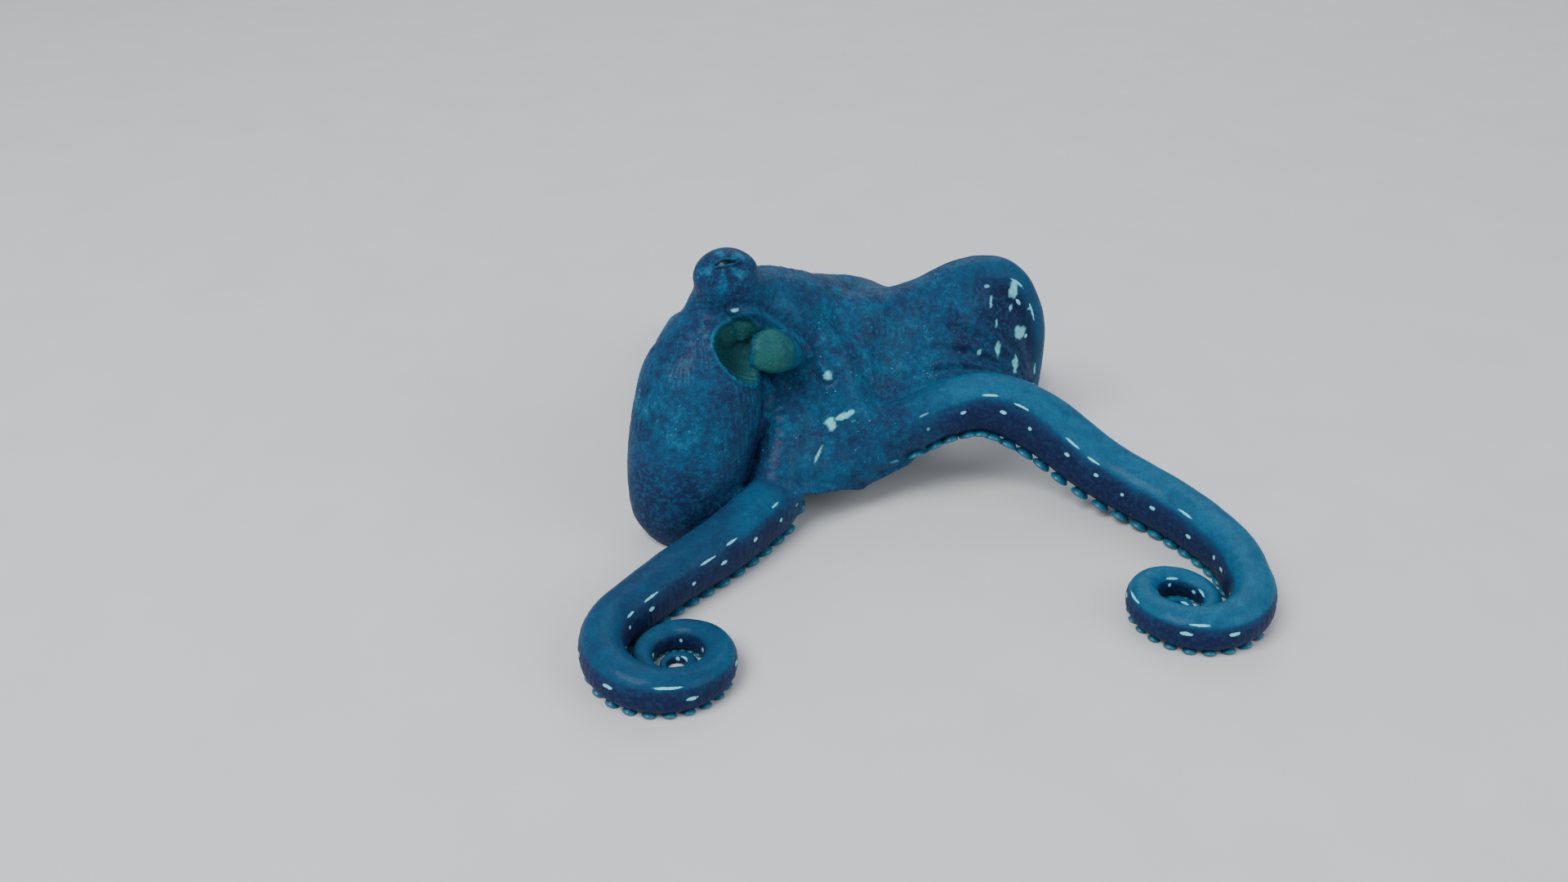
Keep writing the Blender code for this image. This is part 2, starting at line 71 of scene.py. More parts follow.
# ---- the animal's plan: the same curves that its solids follow ----
REST = 0.92  # height of a resting arm's middle, as a share of its half depth
CROWN_CENTRE = (8.0, 75.0, 74.0)
CROWN_RADIUS = 38.0
CROWN_AXIS = (0.55, 0.12, -0.80)  # towards the mouth
CROWN_BACK = (0.40, 0.75, 0.55)  # towards the back of the head
ARM_FLARE = 0.65  # how much an arm's root points away from the crown's axis
ARM_DIVE = 0.75  # how much it points along the axis
ARM_WIDTH = 0.86  # half width of an arm as a share of its half depth
ARM_TIP = 1.5  # half depth of an arm's tip
FLOOR_EASE = 0.8  # how softly an arm meets the floor, as a share of its resting height
COIL_GAP = 3.4  # between a coil's turns
SMALLEST_TURN = 3.0  # radius of a coil's last turn
SHORTEST_COIL = 20.0  # length of the shortest coil
LENGTH_STEP = 2.0  # how closely an arm's length is found
FINE_STEP = 0.5  # between the points of a curve before it is spaced evenly


class Turn(Enum):
    """Which way an arm's coil turns, seen from above."""

    LEFT = 1
    RIGHT = -1


class Side(Enum):
    """A side of the animal."""

    RIGHT = "right"
    LEFT = "left"


def unit(vector: ArrayLike) -> Array:
    """Scales a vector, or each row of them, to length one."""
    rows = np.asarray(vector, float)
    return rows / np.maximum(np.linalg.norm(rows, axis=-1, keepdims=True), 1e-12)


def ramp(value: ArrayLike, low: float, high: float) -> Array:
    """Goes smoothly from 0 at low to 1 at high, or down where low is the greater."""
    share = np.clip((np.asarray(value, float) - low) / (high - low), 0, 1)
    return share * share * (3 - 2 * share)


def bump(value: Array, middle: float, width: float) -> Array:
    """Gives a smooth bump, 1 at the middle, that falls off over this width."""
    return np.exp(-(((value - middle) / width) ** 2))


def crown_frame() -> tuple[Array, Array, Array]:
    """Finds how the crown stands.

    Returns:
        Its axis, back and right directions, square to each other.
    """
    axis = unit(CROWN_AXIS)
    back = np.array(CROWN_BACK)
    back = unit(back - (back @ axis) * axis)
    return axis, back, np.cross(axis, back)


def spline(points: ArrayLike, start: ArrayLike, step: float = 1.0) -> Array:
    """Draws a centripetal Catmull-Rom curve.

    Args:
        points: What it passes through.
        start: The direction in which it leaves the first point.
        step: Rough distance between the points of the result.

    Returns:
        Points along the curve.
    """
    points = np.asarray(points, float)
    before = points[0] - unit(start) * np.linalg.norm(points[1] - points[0])
    knots = np.vstack([before, points, 2 * points[-1] - points[-2]])
    spans = np.linalg.norm(np.diff(knots, axis=0), axis=1) ** 0.5
    t = np.concatenate([[0], np.cumsum(spans)])

    def between(a: Array, b: Array, low: float, high: float, u: Array) -> Array:
        """Mixes a and b by where u lies from low to high."""
        return ((high - u) * a + (u - low) * b) / (high - low)

    curve = []
    for i in range(1, len(knots) - 2):
        count = max(2, int(np.linalg.norm(knots[i + 1] - knots[i]) / step * 1.5))
        u = np.linspace(t[i], t[i + 1], count, endpoint=False)[:, None]
        first = [between(knots[j], knots[j + 1], t[j], t[j + 1], u) for j in (i - 1, i, i + 1)]
        second = [between(first[j], first[j + 1], t[i - 1 + j], t[i + 1 + j], u) for j in (0, 1)]
        curve.append(between(second[0], second[1], t[i], t[i + 1], u))
    curve.append(points[-1:])
    return np.vstack(curve)


def resampled(rows: Array, step: float, keys: int = 3) -> Array:
    """Spaces the rows of a curve evenly.

    Args:
        rows: Points, perhaps with more columns that go along.
        step: Distance between the rows of the result.
        keys: How many of the first columns the distance is measured in.

    Returns:
        The evenly spaced rows.
    """
    lengths = np.linalg.norm(np.diff(rows[:, :keys], axis=0), axis=1)
    run = np.concatenate([[0], np.cumsum(lengths)])
    places = np.linspace(0, run[-1], int(round(run[-1] / step)) + 1)
    columns = [np.interp(places, run, rows[:, k]) for k in range(rows.shape[1])]
    return np.stack(columns, axis=1)


def distance_from(points: Array, place: ArrayLike) -> Array:
    """Gives each point's distance from one place."""
    return np.linalg.norm(points - np.asarray(place, float), axis=1)


def distance_to(points: Array, line: Array) -> Array:
    """Measures how far points are from a line.

    Args:
        points: Rows of x, y and z.
        line: The line's own points.

    Returns:
        Each point's distance to the nearest of them.
    """
    near = np.full(len(points), np.inf)
    for place in line:
        near = np.minimum(near, np.sum((points - place) ** 2, axis=1))
    return np.sqrt(near)


def added(name: str, data: ID) -> Object:
    """Adds an object to the scene.

    Args:
        name: Its name.
        data: Its mesh, light or camera.

    Returns:
        The object.
    """
    obj = bpy.data.objects.new(name, data)
    bpy.context.scene.collection.objects.link(obj)
    return obj


@dataclass
class Shell:
    """A closed mesh before it is fused with the others.

    Attributes:
        points: Its corners, in millimetres.
        faces: Its faces, as rows of corner numbers.
    """

    points: Array
    faces: list[tuple[int, ...]]

    @classmethod
    def loft(cls, rings: list[Array]) -> "Shell":
        """Covers rings, and closes both ends with fans.

        Args:
            rings: Rows of points, the same number in each ring.

        Returns:
            The closed mesh.
        """
        sides = len(rings[0])
        points = np.vstack([*rings, rings[0].mean(0), rings[-1].mean(0)])
        faces: list[tuple[int, ...]] = []
        for row in range(len(rings) - 1):
            for i in range(sides):
                j = (i + 1) % sides
                low, high = row * sides, (row + 1) * sides
                faces.append((low + i, low + j, high + j, high + i))
        last = (len(rings) - 1) * sides
        for i in range(sides):
            j = (i + 1) % sides
            faces.append((j, i, len(points) - 2))
            faces.append((last + i, last + j, len(points) - 1))
        return cls(points, faces)

    @classmethod
    def sheet(cls, upper: Array, lower: Array) -> "Shell":
        """Closes the space between two sheets.

        Args:
            upper: One sheet's points, row by column.
            lower: The other's.

        Returns:
            The closed mesh.
        """
        rows, columns = upper.shape[:2]
        count = rows * columns
        faces: list[tuple[int, ...]] = []
        for i in range(rows - 1):
            for j in range(columns - 1):
                a = i * columns + j
                quad = (a, a + 1, a + columns + 1, a + columns)
                faces.append(quad)
                faces.append(tuple(count + k for k in reversed(quad)))
        rim = list(range(columns))
        rim += [i * columns + columns - 1 for i in range(1, rows)]
        rim += [(rows - 1) * columns + j for j in range(columns - 2, -1, -1)]
        rim += [i * columns for i in range(rows - 2, 0, -1)]
        for a, b in zip(rim, rim[1:] + rim[:1]):
            faces.append((b, a, count + a, count + b))
        points = np.vstack([upper.reshape(-1, 3), lower.reshape(-1, 3)])
        return cls(points, faces)

    @classmethod
    def from_object(cls, obj: Object) -> "Shell":
        """Reads an object with its modifiers, and removes the object.

        Args:
            obj: The object, in metres.

        Returns:
            Its mesh, in millimetres.
        """
        graph = bpy.context.evaluated_depsgraph_get()
        data = bpy.data.meshes.new_from_object(obj.evaluated_get(graph))
        points = np.empty(len(data.vertices) * 3)
        data.vertices.foreach_get("co", points)
        faces = [tuple(polygon.vertices) for polygon in data.polygons]
        bpy.data.meshes.remove(data)
        bpy.data.objects.remove(obj)
        return cls(points.reshape(-1, 3) / MM, faces)

    def to_object(self, name: str) -> Object:
        """Makes an object in metres, with its faces pointing out.

        Args:
            name: The name of the object and of its mesh.

        Returns:
            The object.
        """
        data = bpy.data.meshes.new(name)
        data.from_pydata((self.points * MM).tolist(), [], self.faces)
        mesh = bmesh.new()
        mesh.from_mesh(data)
        bmesh.ops.recalc_face_normals(mesh, faces=mesh.faces)
        mesh.to_mesh(data)
        mesh.free()
        return added(name, data)

    @classmethod
    def joined(cls, shells: list["Shell"]) -> "Shell":
        """Puts shells into one, without fusing them.

        Args:
            shells: Closed meshes, which may overlap.

        Returns:
            All of them in one.
        """
        points, faces, start = [], [], 0
        for shell in shells:
            points.append(shell.points)
            faces += [tuple(start + i for i in face) for face in shell.faces]
            start += len(shell.points)
        return cls(np.vstack(points), faces)


def ellipse(
    centre: ArrayLike, facing: ArrayLike, wide: float, deep: float, sides: int,
    towards: ArrayLike = (0, 1, 0),
) -> Array:
    """Places a ring of points above the floor.

    Args:
        centre: Its middle.
        facing: The direction it is square to.
        wide: Half its width.
        deep: Half its depth, along towards.
        sides: How many points.
        towards: The direction of its depth.

    Returns:
        The points.
    """
    facing = unit(facing)
    towards = np.asarray(towards, float)
    over = unit(towards - (towards @ facing) * facing)
    across = np.cross(facing, over)
    angle = tau * np.arange(sides)[:, None] / sides
    ring = np.asarray(centre, float) + over * deep * np.cos(angle) + across * wide * np.sin(angle)
    ring[:, 2] = np.maximum(ring[:, 2], 0)
    return ring


# ---- noise in space ----
AXIS_PRIMES = (73856093, 19349663, 83492791)  # spread neighbouring cells apart
SEED_PRIME = 2654435761
MIX_PRIMES = (2246822519, 3266489917)
WORD = 0xFFFFFFFF  # 32 bits
SMALLEST_PIMPLE, WIDEST_PIMPLE = 0.26, 0.56  # radius as a share of their spacing


def hashed(cells: NDArray[np.int64], seed: int) -> Array:
    """Gives each cell of a lattice its own number from 0 to 1.

    Args:
        cells: Rows of three whole numbers.
        seed: Another seed gives other numbers.

    Returns:
        One number for each row.
    """
    x, y, z = (cells[..., k] * AXIS_PRIMES[k] for k in range(3))
    mixed = (x ^ y ^ z ^ (seed * SEED_PRIME)) & WORD
    mixed = ((mixed ^ (mixed >> 15)) * MIX_PRIMES[0]) & WORD
    mixed = ((mixed ^ (mixed >> 13)) * MIX_PRIMES[1]) & WORD
    return (mixed ^ (mixed >> 16)).astype(float) / WORD


def cloud(points: Array, size: float, seed: int) -> Array:
    """Draws soft noise.

    Args:
        points: Where to draw it.
        size: Width of its blobs, in the points' own unit.
        seed: Another seed gives other blobs.

    Returns:
        A value from -1 to 1 at each point.
    """
    scaled = points / size
    cell = np.floor(scaled).astype(np.int64)
    part = scaled - cell
    part = part * part * (3 - 2 * part)
    total = np.zeros(len(points))
    for corner in np.ndindex(2, 2, 2):
        weight = np.prod(np.where(corner, part, 1 - part), axis=1)
        total += weight * hashed(cell + np.array(corner), seed)
    return total * 2 - 1


def pimples(points: Array, spacing: float, seed: int) -> Array:
    """Scatters small rounded bumps.

    Args:
        points: Where to draw them.
        spacing: Rough distance from one to the next.
        seed: Another seed gives other places.

    Returns:
        A height from 0 to 1 at each point.
    """
    scaled = points / spacing
    cell = np.floor(scaled).astype(np.int64)
    height = np.zeros(len(points))
    for offset in np.ndindex(3, 3, 3):
        near = cell + np.array(offset) - 1
        place = near + np.stack([hashed(near, seed + k) for k in range(3)], axis=1)
        reach = SMALLEST_PIMPLE + (WIDEST_PIMPLE - SMALLEST_PIMPLE) * hashed(near, seed + 3)
        far = np.linalg.norm(scaled - place, axis=1) / reach
        height = np.maximum(height, (1 - np.minimum(far, 1) ** 2) ** 2 * reach / WIDEST_PIMPLE)
    return height


# ---- arms ----
@dataclass
class Arm:
    """One arm: a route from the crown, then a coil.  Route heights of 0 rest on the floor.

    Attributes:
        name: Which arm, counted from the back of each side.
        angle: Round the crown, from its back towards the right, in degrees.
        route: What its middle passes through after the crown.
        length: The longest that it may be.
        girth: Half its depth at the crown.
        taper: A higher one keeps the arm thick for longer.
        coil: Radius of the coil's first turn.
        turn: Which way the coil turns.
        margin: How far along it the webs reach.
        tilt: Of the coil's plane from the floor, in degrees.
        swell: Where extra thickness starts, where it is full, and how much half depth it adds.
        upper: Where the upper side faces, by route point.
        belly: Depth below the middle as a share of the depth above it.
        boxiness: A section's exponent: 2 would make it an ellipse.
        root: The rings inside the head: how far behind the crown, and their scale.
        end: The rings that round the tip: how far past it, and their scale.
        line: The middle line, a point for each millimetre.
        ahead: Where the arm runs there.
        over: Where its upper side faces there.
        across: Sideways there.
    """

    name: str
    angle: float
    route: list[Point]
    length: float
    girth: float
    taper: float
    coil: float
    turn: Turn
    margin: float
    tilt: float = 0.0
    swell: tuple[float, float, float] = (0.0, 1.0, 0.0)
    upper: dict[int, Point] = field(default_factory=dict)
    belly: float = 0.80
    boxiness: float = 2.35
    root: tuple[tuple[float, float], ...] = ((14.0, 0.45), (11.0, 0.8), (6.0, 0.95))
    end: tuple[tuple[float, float], ...] = ((-0.2, 0.8), (0.4, 0.4))
    line: Array = field(init=False)
    ahead: Array = field(init=False)
    over: Array = field(init=False)
    across: Array = field(init=False)

    def half_depth(self, along: ArrayLike) -> Array:
        """Tells how thick the arm is.

        Args:
            along: Distances from the crown.

        Returns:
            Half the depth at each.
        """
        share = np.clip(np.asarray(along, float) / self.length, 0, 1)
        start, full, extra = self.swell
        swollen = extra * ramp(along, start, full) * (1 - share**2)
        return ARM_TIP + (self.girth - ARM_TIP) * (1 - share**self.taper) ** 0.9 + swollen

    def build_path(self) -> None:
        """Finds the middle line, and the direction of the upper side at each millimetre."""
        axis, back, right = crown_frame()
        spoke = cos(radians(self.angle)) * back + sin(radians(self.angle)) * right
        base = np.array(CROWN_CENTRE) + CROWN_RADIUS * spoke
        start = unit(ARM_DIVE * axis + ARM_FLARE * spoke)
        points = [base, *(np.array(p, float) for p in self.route)]
        route = resampled(spline(points, start), 1.0)
        upper = self.upper_sides(route, points, unit(ARM_FLARE * -axis + ARM_DIVE * spoke))
        fits, too_long = len(route) + SHORTEST_COIL, self.length
        while too_long - fits > LENGTH_STEP:  # the longest arm whose coil has room for it
            self.length = (fits + too_long) / 2
            line, coil, _ = self.lay(route)
            if len(line) + len(coil) > self.length:
                fits = self.length
            else:
                too_long = self.length
        self.length = fits
        line, coil, coil_upper = self.lay(route)
        self.length = len(line) + len(coil) - 1.0
        self.line = np.vstack([line, coil])
        self.ahead = unit(np.gradient(self.line, axis=0))
        over = np.vstack([upper, coil_upper])
        self.over = unit(over - (over * self.ahead).sum(1)[:, None] * self.ahead)
        self.across = np.cross(self.ahead, self.over)

    def lay(self, route: Array) -> tuple[Array, Array, Array]:
        """Lays the route on the floor and adds the coil.

        Args:
            route: The middle line before it rests on the floor.

        Returns:
            The line at rest, the coil, and the coil's upper directions.
        """
        line = route.copy()
        rest = self.half_depth(np.arange(len(line))) * REST
        ease = FLOOR_EASE * rest
        near = np.maximum(ease - np.abs(line[:, 2] - rest), 0)
        line[:, 2] = np.maximum(line[:, 2], rest) + near**2 / (4 * ease)
        return line, *self.coil_path(line, len(line) - 1)

    def upper_sides(self, line: Array, points: list[Array], at_base: Array) -> Array:
        """Spreads the named upper directions along the route.

        Args:
            line: The route at each millimetre.
            points: The points that it was drawn through.
            at_base: The upper direction at the crown.

        Returns:
            The upper direction at each millimetre.
        """
        named = [at_base]
        named += [unit(self.upper.get(i, (0, 0, 1))) for i in range(1, len(points))]
        nearest = [int(np.linalg.norm(line - p[None], axis=1).argmin()) for p in points]
        nearest = np.maximum.accumulate(nearest)
        places = np.arange(len(line))
        columns = [np.interp(places, nearest, [v[k] for v in named]) for k in range(3)]
        return np.stack(columns, 1)

    def turn_fall(self, here: float, radius: float) -> float:
        """Gives how much the coil's radius falls for each radian, at a place on a turn."""
        width = self.half_depth(here - pi * radius) + self.half_depth(here + pi * radius)
        return float(ARM_WIDTH * width + COIL_GAP) / tau

    def coil_path(self, line: Array, done: int) -> tuple[Array, Array]:
        """Winds the rest of the arm into a flat spiral.

        Args:
            line: The arm before the coil.
            done: How long that is.

        Returns:
            The spiral's points and its upper directions.
        """
        ahead = line[-1] - line[-3]
        ahead = unit([ahead[0], ahead[1], 0.0])
        lean = radians(self.tilt)
        inward = np.cross((0, 0, 1), ahead) * self.turn.value * cos(lean)
        inward = inward + np.array([0, 0, sin(lean)])
        slope = atan2(self.turn_fall(done, self.coil), self.coil)
        ahead, inward = (
            ahead * cos(slope) - inward * sin(slope),
            inward * cos(slope) + ahead * sin(slope),
        )
        centre = line[-1] + inward * self.coil
        radius, angle = self.coil, 0.0
        points: list[Array] = []
        while done + len(points) < self.length and radius > SMALLEST_TURN:
            here = done + len(points)
            fall = self.turn_fall(here, radius)
            step = 1 / hypot(radius, fall)
            angle += step
            radius -= fall * step
            point = centre - inward * radius * cos(angle) + ahead * radius * sin(angle)
            if not self.tilt:
                point[2] = self.half_depth(here + 1) * REST
            points.append(point)
        rows = np.array(points)
        if not self.tilt:
            return rows, np.tile((0.0, 0.0, 1.0), (len(rows), 1))
        return rows, unit(centre - rows)

    def frame(self, along: float) -> tuple[Array, Array, Array, float]:
        """Describes one place on the arm.

        Args:
            along: Distance from the crown.

        Returns:
            The middle, the upper and sideways directions, and half the depth.
        """
        i = min(max(float(along), 0.0), self.length)
        low = min(int(i), len(self.line) - 2)
        part = i - low
        middle, over, across = (
            rows[low] * (1 - part) + rows[low + 1] * part
            for rows in (self.line, self.over, self.across)
        )
        return middle, unit(over), unit(across), float(self.half_depth(i))

    def reach(self, angle: ArrayLike) -> Array:
        """Draws the outline of a section whose half depth is one.

        Args:
            angle: Angles from the upper side.

        Returns:
            The radius at each.
        """
        angle = np.asarray(angle, float)
        up = np.abs(np.cos(angle)) / np.where(np.cos(angle) > 0, 1.0, self.belly)
        out = np.abs(np.sin(angle)) / ARM_WIDTH
        return (up**self.boxiness + out**self.boxiness) ** (-1 / self.boxiness)

    def ring(self, along: float, sides: int, size: float = 1.0) -> Array:
        """Draws one cross-section.

        Args:
            along: Where, from the crown.
            sides: How many points.
            size: Scale of the section.

        Returns:
            The points, none below the floor.
        """
        middle, over, across, half = self.frame(along)
        angle = tau * (np.arange(sides) + 0.5) / sides
        radius = self.reach(angle) * half * size
        ring = middle + np.outer(radius * np.cos(angle), over)
        ring += np.outer(radius * np.sin(angle), across)
        ring[:, 2] = np.maximum(ring[:, 2], 0)
        return ring

    def shell(self, sides: int, step: float) -> Shell:
        """Covers the arm, with a rounded root inside the head and a rounded tip.

        Args:
            sides: Points in each cross-section.
            step: Distance between cross-sections.

        Returns:
            The closed mesh.
        """
        rings = []
        for back, size in self.root:
            rings.append(self.ring(0, sides, size) - self.ahead[0] * back)
        for along in np.linspace(0, self.length - 1.5, int(self.length / step)):
            rings.append(self.ring(along, sides))
        for forward, size in self.end:
            rings.append(self.ring(self.length, sides, size) + self.ahead[-1] * forward)
        return Shell.loft(rings)

    def facing(self, along: float, towards: Array, sunk: float) -> Array:
        """Finds where a web meets the flank.

        Args:
            along: Where on the arm, from the crown.
            towards: What the flank faces there.
            sunk: How far below the surface the point lies.

        Returns:
            The point.
        """
        middle, over, across, half = self.frame(along)
        way = np.asarray(towards) - middle
        up, out = way @ over, way @ across
        length = hypot(up, out)
        up, out = up / length, out / length
        reach = 1 / hypot(up / half, out / (half * ARM_WIDTH)) - sunk
        return middle + (over * up + across * out) * reach


def all_arms() -> list[Arm]:
    """Lists the arms.

    Returns:
        All eight, in order round the crown from the fourth right arm.
    """
    return [
        Arm("right_4", 157.5, [(1, 20, 50), (-1, 5, 34), (-9, -16, 0), (-31, -50, 0),
            (-60, -84, 0), (-80, -110, 0)], 560, 16.0, 1.55, 37, Turn.LEFT, 92,
            swell=(15, 65, 3.0)),
        Arm("right_3", 112.5, [(34, 28, 55), (46, 22, 43), (66, 23, 44), (90, 31, 51),
            (114, 36, 54), (144, 34, 43), (179, 12, 24), (215, -18, 8), (236, -58, 0),
            (238, -84, 0)], 600, 16.5, 2.0, 34, Turn.RIGHT, 136, swell=(80, 150, 4.0)),
        Arm("right_2", 67.5, [(60, 76, 90), (84, 88, 93), (106, 96, 101), (127, 101, 101),
            (141, 105, 80), (145, 114, 45), (149, 134, 0), (158, 160, 0)], 560, 17.0, 1.6, 30,
            Turn.LEFT, 156, swell=(110, 160, 2.5),
            upper={4: (0.8, 0, 0.6), 5: (1, 0, 0), 6: (1, -0.2, 0.3)}),
        Arm("right_1", 22.5, [(54, 122, 76), (72, 152, 40), (84, 182, 0), (104, 210, 0),
            (132, 226, 0), (156, 242, 0)], 520, 14.5, 1.35, 29, Turn.LEFT, 104),
        Arm("left_1", 337.5, [(22, 142, 58), (32, 174, 18), (38, 202, 0), (57, 219, 0),
            (81, 229, 0)], 460, 14.5, 1.35, 26, Turn.LEFT, 98),
        Arm("left_2", 292.5, [(-8, 138, 40), (-5, 170, 6), (-1, 200, 0), (5, 226, 0),
            (17, 246, 0)], 480, 14.5, 1.35, 27, Turn.LEFT, 96),
        Arm("left_3", 247.5, [(-30, 112, 34), (-38, 134, 10), (-46, 154, 0)], 430, 14.5, 1.2,
            33, Turn.RIGHT, 84, tilt=84),
        Arm("left_4", 202.5, [(-32, 66, 30), (-50, 70, 0), (-72, 84, 0), (-81, 110, 0),
            (-83, 140, 0), (-82, 170, 0), (-80, 200, 0), (-76, 230, 0)], 520, 14.5, 1.35, 28,
            Turn.RIGHT, 92),
    ]


# ---- webs ----
@dataclass
class Web:
    """The sheet between two neighbouring arms, with a margin that curves in towards the crown.

    Attributes:
        name: The solid that it stands for.
        first: One arm.
        second: The next.
        first_span: Along the first arm, from near the crown to the margin.
        second_span: The same along the second arm.
        dip: How far the margin curves in, as a share of the span.
        drop: How far the sheet hangs below a straight line from arm to arm.
        under: How far the margin moves round to the second arm's underside.
        outer: How far the edges move round to the arms' outer sides: for each arm, at the crown
            and at the margin.
        fade: Where on the way out the first of those gives way to the second.
        folds: How many soft folds run out from the crown.
        sunk: How far below the arms' surface the sheet's edges lie.
        thick: Its thickness at the crown.
        thin: How much of that is lost on the way to the margin.
        fold_height: How far the folds rise.
        root_along: Where on the arms the flesh between their roots sits.
        root_lift: How far above them its middle is.
        root_radius: How big it is.
        across: Points from arm to arm.
        along: Points from crown to margin.
    """

    name: str
    first: Arm
    second: Arm
    first_span: tuple[float, float]
    second_span: tuple[float, float]
    dip: float
    drop: float = 0.0
    under: float = 0.0
    outer: tuple[tuple[float, float], tuple[float, float]] = ((120.0, 20.0), (120.0, 20.0))
    fade: tuple[float, float] = (0.1, 0.8)
    folds: float = 4.5
    sunk: float = 3.0
    thick: float = 4.2
    thin: float = 0.25
    fold_height: float = 1.3
    root_along: float = 11.0
    root_lift: float = 3.5
    root_radius: float = 12.5
    across: int = 56
    along: int = 48

    def shell(self) -> Shell:
        """Builds the sheet with its folds and its rounded margin.

        Returns:
            The closed mesh.
        """
        u = np.linspace(0, 1, self.across)
        v = np.linspace(0, 1, self.along)
        middle = np.array([[self.point(a, b) for a in u] for b in v])
        down, over = np.gradient(middle, axis=0), np.gradient(middle, axis=1)
        normal = unit(np.cross(down, over))
        fold = np.sin(tau * self.folds * u[None] + 1.3 * np.sin(3 * v[:, None] + 5 * u[None]))
        fold = fold * np.sin(pi * u[None]) * ramp(v[:, None], 0.1, 0.8) * self.fold_height
        middle = middle + normal * fold[..., None]
        thick = self.thick * (1 - self.thin * v[:, None, None]) * np.ones((1, self.across, 1))
        thick[-1] *= 0.7
        thick[-2] *= 0.9
        middle[..., 2] = np.maximum(middle[..., 2], thick[..., 0] / 2)
        sheets = [middle + normal * thick / 2, middle - normal * thick / 2]
        for sheet in sheets:
            sheet[..., 2] = np.maximum(sheet[..., 2], 0)
        return Shell.sheet(*sheets)

    def root(self) -> Shell:
        """Builds the flesh that fills the corner between the two arms' roots.

        Returns:
            The closed mesh.
        """
        first, second = self.first.frame(self.root_along), self.second.frame(self.root_along)
        middle = (first[0] + second[0]) / 2 + unit(first[1] + second[1]) * self.root_lift
        return Body.ball(middle, [self.root_radius] * 3)

    def point(self, u: float, v: float) -> Array:
        """Finds a point of the sheet's middle.

        Args:
            u: Its place from the first arm, 0, to the second, 1.
            v: Its place from the crown, 0, to the margin, 1.

        Returns:
            The point.
        """
        arch = sin(pi * u) ** 2
        out = v * (1 - self.dip * arch)
        a = self.first_span[0] * (1 - out) + self.first_span[1] * out
        b = self.second_span[0] * (1 - out) + self.second_span[1] * out
        first, second = self.first.frame(a), self.second.frame(b)
        outward = unit(first[1] + second[1])
        share = float(ramp(out, *self.fade))
        near, far = (crown * (1 - share) + margin * share for crown, margin in self.outer)
        left = self.first.facing(a, second[0] + outward * near, self.sunk)
        aim = first[0] + outward * far - (0, 0, self.under * out)
        right = self.second.facing(b, aim, self.sunk)
        point = left * (1 - u) + right * u
        point[2] -= self.drop * arch * out
        return point


def all_webs(arms: list[Arm]) -> list[Web]:
    """Lists the webs.

    Args:
        arms: The eight arms, in order.

    Returns:
        The web after each of them, in the same order.
    """
    r4, r3, r2, r1, l1, l2, l3, l4 = arms
    return [
        Web("web_right_3_4", r4, r3, (4, 92), (4, 122), 0.18, 16, 220, ((140, 30), (140, 20)),
            (0.3, 0.9), 4.5, fold_height=0.8),
        Web("web_right_2_3", r3, r2, (2, 146), (2, 172), 0.06, 2,
            outer=((140, 10), (140, 80)), fade=(0.15, 0.6), folds=6.5),
        Web("web_right_1_2", r2, r1, (3, 112), (3, 104), 0.28),
        Web("web_between_first_arms", r1, l1, (3, 104), (3, 98), 0.25),
        Web("web_left_1_2", l1, l2, (3, 98), (3, 96), 0.25),
        Web("web_left_2_3", l2, l3, (3, 92), (3, 84), 0.25),
        Web("web_left_3_4", l3, l4, (3, 80), (3, 92), 0.25),
        Web("web_between_fourth_arms", l4, r4, (20, 78), (20, 84), 0.30),
    ]


# ---- head and mantle ----
Section = tuple[Point, Point, float, float]


@dataclass
class Eye:
    """An eye and the mound that carries it.

    Attributes:
        side: Which eye.
        mound: The middle of the mound.
        look: Where the eye looks.
        foot: Where the mound stands on the head.
        size: Half the mound's width.
        level: The direction of the pupil's long axis, before it is made square to look.
    """

    side: Side
    mound: Point
    look: Point
    foot: Point
    size: float
    level: Point

    @property
    def slit_low(self) -> float:
        """How far the slit between the lids is below the eyeball's middle."""
        return 0.07 * self.size

    @property
    def radius(self) -> float:
        """The eyeball's radius."""
        return 0.58 * self.size

    @property
    def centre(self) -> Array:
        """The middle of the eyeball."""
        return np.array(self.mound) + unit(self.look) * 0.44 * self.size

    def axes(self) -> tuple[Array, Array, Array]:
        """Finds how the eye stands.

        Returns:
            The directions along the pupil, up from it, and out of the eye.
        """
        look = unit(self.look)
        level = np.array(self.level, float)
        level = unit(level - (level @ look) * look)
        return level, np.cross(look, level), look

    def mound_shell(self, sides: int) -> Shell:
        """Builds the mound: a broad foot on the head and a domed top.

        Args:
            sides: Points in each ring.

        Returns:
            The closed mesh.
        """
        centre, look, foot = np.array(self.mound), unit(self.look), np.array(self.foot)
        rise = unit(centre - foot)
        rings = [ellipse(foot, rise, self.size * 1.3, self.size * 1.3, sides)]
        middle = (foot + centre) / 2
        rings.append(ellipse(middle, rise, self.size * 1.15, self.size * 1.12, sides))
        for angle in range(0, 90, 6):
            a = radians(angle)
            lean = unit(rise * (1 - angle / 130) + look * angle / 130)
            place = centre + lean * self.size * 0.95 * sin(a)
            wide, deep = self.size * 1.08 * cos(a), self.size * cos(a)
            rings.append(ellipse(place, lean, wide, deep, sides))
        return Shell.loft(rings)


